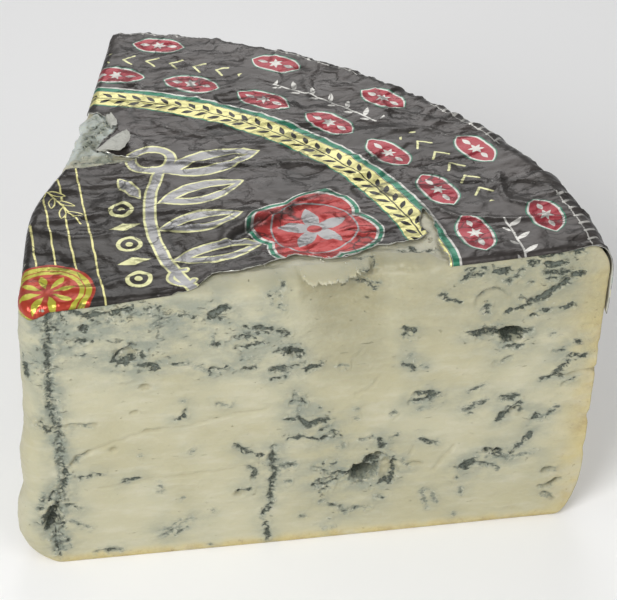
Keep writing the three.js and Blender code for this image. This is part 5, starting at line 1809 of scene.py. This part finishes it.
def crinkles(nodes, place):
    """Height of the small facets of crumpled foil, and 1 along the sharpest valleys between them, where
    shade is painted.
    """
    total, lines = 0.0, 0.0
    layers = ((11, 0.38, 0.12, 1.0), (4.4, 0.5, -0.25, 0.42), (7, 0.45, 1.1, 0.4))
    for size, stretch, turn, strength in layers:
        inputs = {"Vector": nodes.stretched(place, (stretch, 1.0, 1.0), turn), "Scale": 1 / (size * MM)}

        def facets(feature):
            made = nodes.add("ShaderNodeTexVoronoi", inputs, feature=feature, voronoi_dimensions="2D")
            return made.outputs["Distance"]

        total = nodes.math("MULTIPLY_ADD", facets("F1"), -strength, total)
        if strength > 0.41:
            edge = nodes.step(facets("DISTANCE_TO_EDGE"), 0.0, 0.055, 1.0, 0.0)
            lines = nodes.highest(lines, edge)
    patch = nodes.noise(place, 17, 2)
    total = nodes.times(total, nodes.step(patch, 0.36, 0.62, 0.25, 1.0))
    return total, nodes.times(lines, nodes.step(patch, 0.42, 0.62, 0.0, 1.0))


# The stage


def area_light(name, place, aim, size, power):
    light = bpy.data.lights.new(name, "AREA")
    light.shape = "DISK"
    light.size = size
    light.energy = power
    turn = (Vector(aim) - Vector(place)).to_track_quat("-Z", "Y").to_matrix().to_4x4()
    add_object(name, light).matrix_world = Matrix.Translation(place) @ turn


def build_floor(settings):
    half = settings.floor_size / 2
    mesh = bpy.data.meshes.new("floor")
    corners = [(x * half, y * half, 0) for x, y in ((-1, -1), (1, -1), (1, 1), (-1, 1))]
    mesh.from_pydata(corners, [], [range(4)])
    material, nodes, shader = principled("floor")
    nodes.fill(shader, {"Base Color": (*settings.floor_colour, 1), "Roughness": 0.9})
    mesh.materials.append(material)
    add_object("floor", mesh)


def build_camera():
    camera = bpy.data.cameras.new("camera")
    camera.lens = CAMERA_LENS
    camera.sensor_width = CAMERA_SENSOR
    camera.clip_start = CAMERA_NEAR
    made = add_object("camera", camera)
    across, up, forward = (Vector(way) for way in (CAMERA_ACROSS, CAMERA_UP, CAMERA_FORWARD))
    turned = Matrix((across, up, -forward)).transposed().to_4x4()
    made.matrix_world = Matrix.Translation([value * MM for value in CAMERA_PLACE]) @ turned
    bpy.context.scene.camera = made


def build_stage(settings):
    """The floor, the lights and the camera."""
    build_floor(settings)
    for name, place, height, size in LIGHTS:
        area_light(name, place, (0, 0, height), size, getattr(settings, name + "_power"))
    world = bpy.data.worlds.new("studio")
    world.use_nodes = True
    back = world.node_tree.nodes["Background"]
    back.inputs["Color"].default_value = (1, 1, 1, 1)
    back.inputs["Strength"].default_value = settings.ambient
    bpy.context.scene.world = world
    bpy.context.scene.view_settings.view_transform = "Standard"
    build_camera()


def colour_of(name, described, *screen):
    """A colour setting, from screen values between 0 and 255."""
    return bpy.props.FloatVectorProperty(
        name=name, description="Colour of " + described, default=linear(*screen), subtype="COLOR"
    )


def length_of(name, description, default):
    return bpy.props.FloatProperty(name=name, description=description, default=default, unit="LENGTH")


def seed_of(described, default):
    return bpy.props.IntProperty(name="Seed", description="Seed of " + described, default=default)


def power_of(name, default):
    description = "Power of the " + name.lower() + " light"
    return bpy.props.FloatProperty(name=name, description=description, default=default, unit="POWER")


# The add-on


class CheeseSettings(bpy.types.PropertyGroup):
    cell: length_of("Mesh step", "Distance between points of the front face", 0.0005)
    seed: seed_of("the second cut face's veins", 11)
    paste: colour_of("Paste", "the ivory paste", 175, 171, 145)
    paste_deep: colour_of("Deeper paste", "its broad darker areas", 167, 162, 133)
    paste_pale: colour_of("Pale paste", "smears and torn skin", 192, 189, 170)
    paste_grey: colour_of("Grey paste", "the torn patch on the top", 189, 197, 193)
    # The clouds' colour also paints shade in the scoop and the dent.
    cloud: colour_of("Clouds", "the blue-grey areas round the veins", 134, 138, 124)
    vein: colour_of("Veins", "the darkest mould", 52, 58, 50)
    vein_mid: colour_of("Middle veins", "most of the mould", 90, 96, 86)
    vein_pale: colour_of("Paler veins", "the mould's thin edges", 126, 133, 122)
    # The openings' colour also paints shade in the scoop and the dent.
    pit: colour_of("Openings", "the paste in cracks and openings", 143, 137, 106)
    rind: colour_of("Rind", "the rind", 194, 178, 122)
    rind_dark: colour_of("Darker rind", "the rind's darker areas", 168, 148, 98)
    rind_deep: colour_of("Rind specks", "the rind's pits and specks", 122, 102, 76)


class CrumbSettings(bpy.types.PropertyGroup):
    density: bpy.props.FloatProperty(
        name="Density", description="Crumbs to a square metre where there are most", default=120000.0
    )
    smallest: length_of("Smallest", "Half width of the smallest crumbs", 0.00018)
    largest: length_of("Largest", "Half width of the largest crumbs", 0.00055)
    roughness: length_of("Roughness", "How uneven the crumbs are", 0.00035)
    seed: seed_of("the crumbs' places", 3)


class FoilSettings(bpy.types.PropertyGroup):
    cell: length_of("Mesh step", "Distance between points of the sheet", 0.00095)
    seed: seed_of("the sheet's points", 5)
    thickness: length_of("Thickness", "Thickness of the sheet", 0.00022)
    crinkle: length_of("Crinkle", "Height of the crinkles", 0.0009)
    pleats: length_of("Pleats", "Height of the pleats round the rim", 0.0012)
    curl: length_of("Curl", "How far torn edges curl up", 0.0005)
    print_dark: colour_of("Ground", "the dark ground", 59, 55, 53)
    print_warm: colour_of("Lighter ground", "the ground's lighter areas", 71, 66, 64)
    # Painted shade: the darker ground towards the tip.
    print_tip_shade: colour_of("Ground by the tip", "the ground by the tip", 44, 41, 38)
    print_worn: colour_of("Worn ground", "rubbed places", 104, 100, 96)
    # Black also paints the shade in the creases and beside the folds.
    print_black: colour_of("Black", "creases and fine strokes", 30, 28, 25)
    print_yellow: colour_of("Yellow", "the ribbon and the fine lines", 212, 206, 140)
    print_pale: colour_of("Pale yellow", "rings, chevrons and outlines", 204, 203, 152)
    print_green: colour_of("Green", "the green lines", 46, 116, 90)
    print_white: colour_of("White", "the white marks", 190, 188, 182)
    print_red: colour_of("Red", "the medallions", 146, 46, 56)
    print_plaque: colour_of("Plaque red", "the plaque", 162, 56, 54)
    print_silver: colour_of("Silver", "the branch", 148, 147, 147)
    print_lime: colour_of("Lime", "the rosette's ring", 176, 172, 62)
    print_orange: colour_of("Orange", "the rosette's ground", 164, 58, 40)
    bare: colour_of("Bare foil", "the inner side and of torn edges", 180, 180, 172)


class StageSettings(bpy.types.PropertyGroup):
    floor_size: length_of("Floor", "Side of the floor", 6)
    floor_colour: bpy.props.FloatVectorProperty(
        name="Floor colour", description="Colour of the floor", default=(0.9, 0.9, 0.9), subtype="COLOR"
    )
    key_power: power_of("Key", 6.6)
    fill_power: power_of("Fill", 3.9)
    back_power: power_of("Back", 2.2)
    ambient: bpy.props.FloatProperty(
        name="Ambient", description="Strength of the surroundings", default=0.33
    )


class CHEESE_OT_wedge(bpy.types.Operator):
    """Build the cheese"""

    bl_idname = "cheese.wedge"
    bl_label = "Cheese"

    def execute(self, context):
        build_cheese(context.scene.cheese_settings)
        return {"FINISHED"}


class CHEESE_OT_crumbs(bpy.types.Operator):
    """Scatter crumbs over the cheese, which has to be built first"""

    bl_idname = "cheese.crumbs"
    bl_label = "Crumbs"

    def execute(self, context):
        build_crumbs(context.scene.crumb_settings)
        return {"FINISHED"}


class CHEESE_OT_foil(bpy.types.Operator):
    """Build the foil"""

    bl_idname = "cheese.foil"
    bl_label = "Foil"

    def execute(self, context):
        build_foil(context.scene.foil_settings)
        return {"FINISHED"}


class CHEESE_OT_stage(bpy.types.Operator):
    """Build the floor, the lights and the camera"""

    bl_idname = "cheese.stage"
    bl_label = "Stage"

    def execute(self, context):
        build_stage(context.scene.stage_settings)
        return {"FINISHED"}


class CHEESE_PT_panel(bpy.types.Panel):
    """Everything that can be built"""

    bl_idname = "CHEESE_PT_panel"
    bl_label = "Blue Cheese Wedge"
    bl_space_type = "VIEW_3D"
    bl_region_type = "UI"
    bl_category = "Cheese"

    def draw(self, context):
        for operator, settings in PIECES:
            box = self.layout.box()
            for key in getattr(context.scene, settings).__annotations__:
                box.prop(getattr(context.scene, settings), key)
            box.operator(operator)


SETTINGS = {
    "cheese_settings": CheeseSettings,
    "crumb_settings": CrumbSettings,
    "foil_settings": FoilSettings,
    "stage_settings": StageSettings,
}
PIECES = (
    ("cheese.wedge", "cheese_settings"),
    ("cheese.crumbs", "crumb_settings"),
    ("cheese.foil", "foil_settings"),
    ("cheese.stage", "stage_settings"),
)
OPERATORS = (CHEESE_OT_wedge, CHEESE_OT_crumbs, CHEESE_OT_foil, CHEESE_OT_stage)


def register():
    for name, group in SETTINGS.items():
        bpy.utils.register_class(group)
        setattr(bpy.types.Scene, name, bpy.props.PointerProperty(type=group))
    for kind in (*OPERATORS, CHEESE_PT_panel):
        bpy.utils.register_class(kind)


def unregister():
    for kind in (CHEESE_PT_panel, *reversed(OPERATORS)):
        bpy.utils.unregister_class(kind)
    for name, group in reversed(SETTINGS.items()):
        delattr(bpy.types.Scene, name)
        bpy.utils.unregister_class(group)


def main():
    register()
    bpy.ops.cheese.wedge()
    bpy.ops.cheese.crumbs()
    bpy.ops.cheese.foil()
    bpy.ops.cheese.stage()


if __name__ == "__main__":
    main()
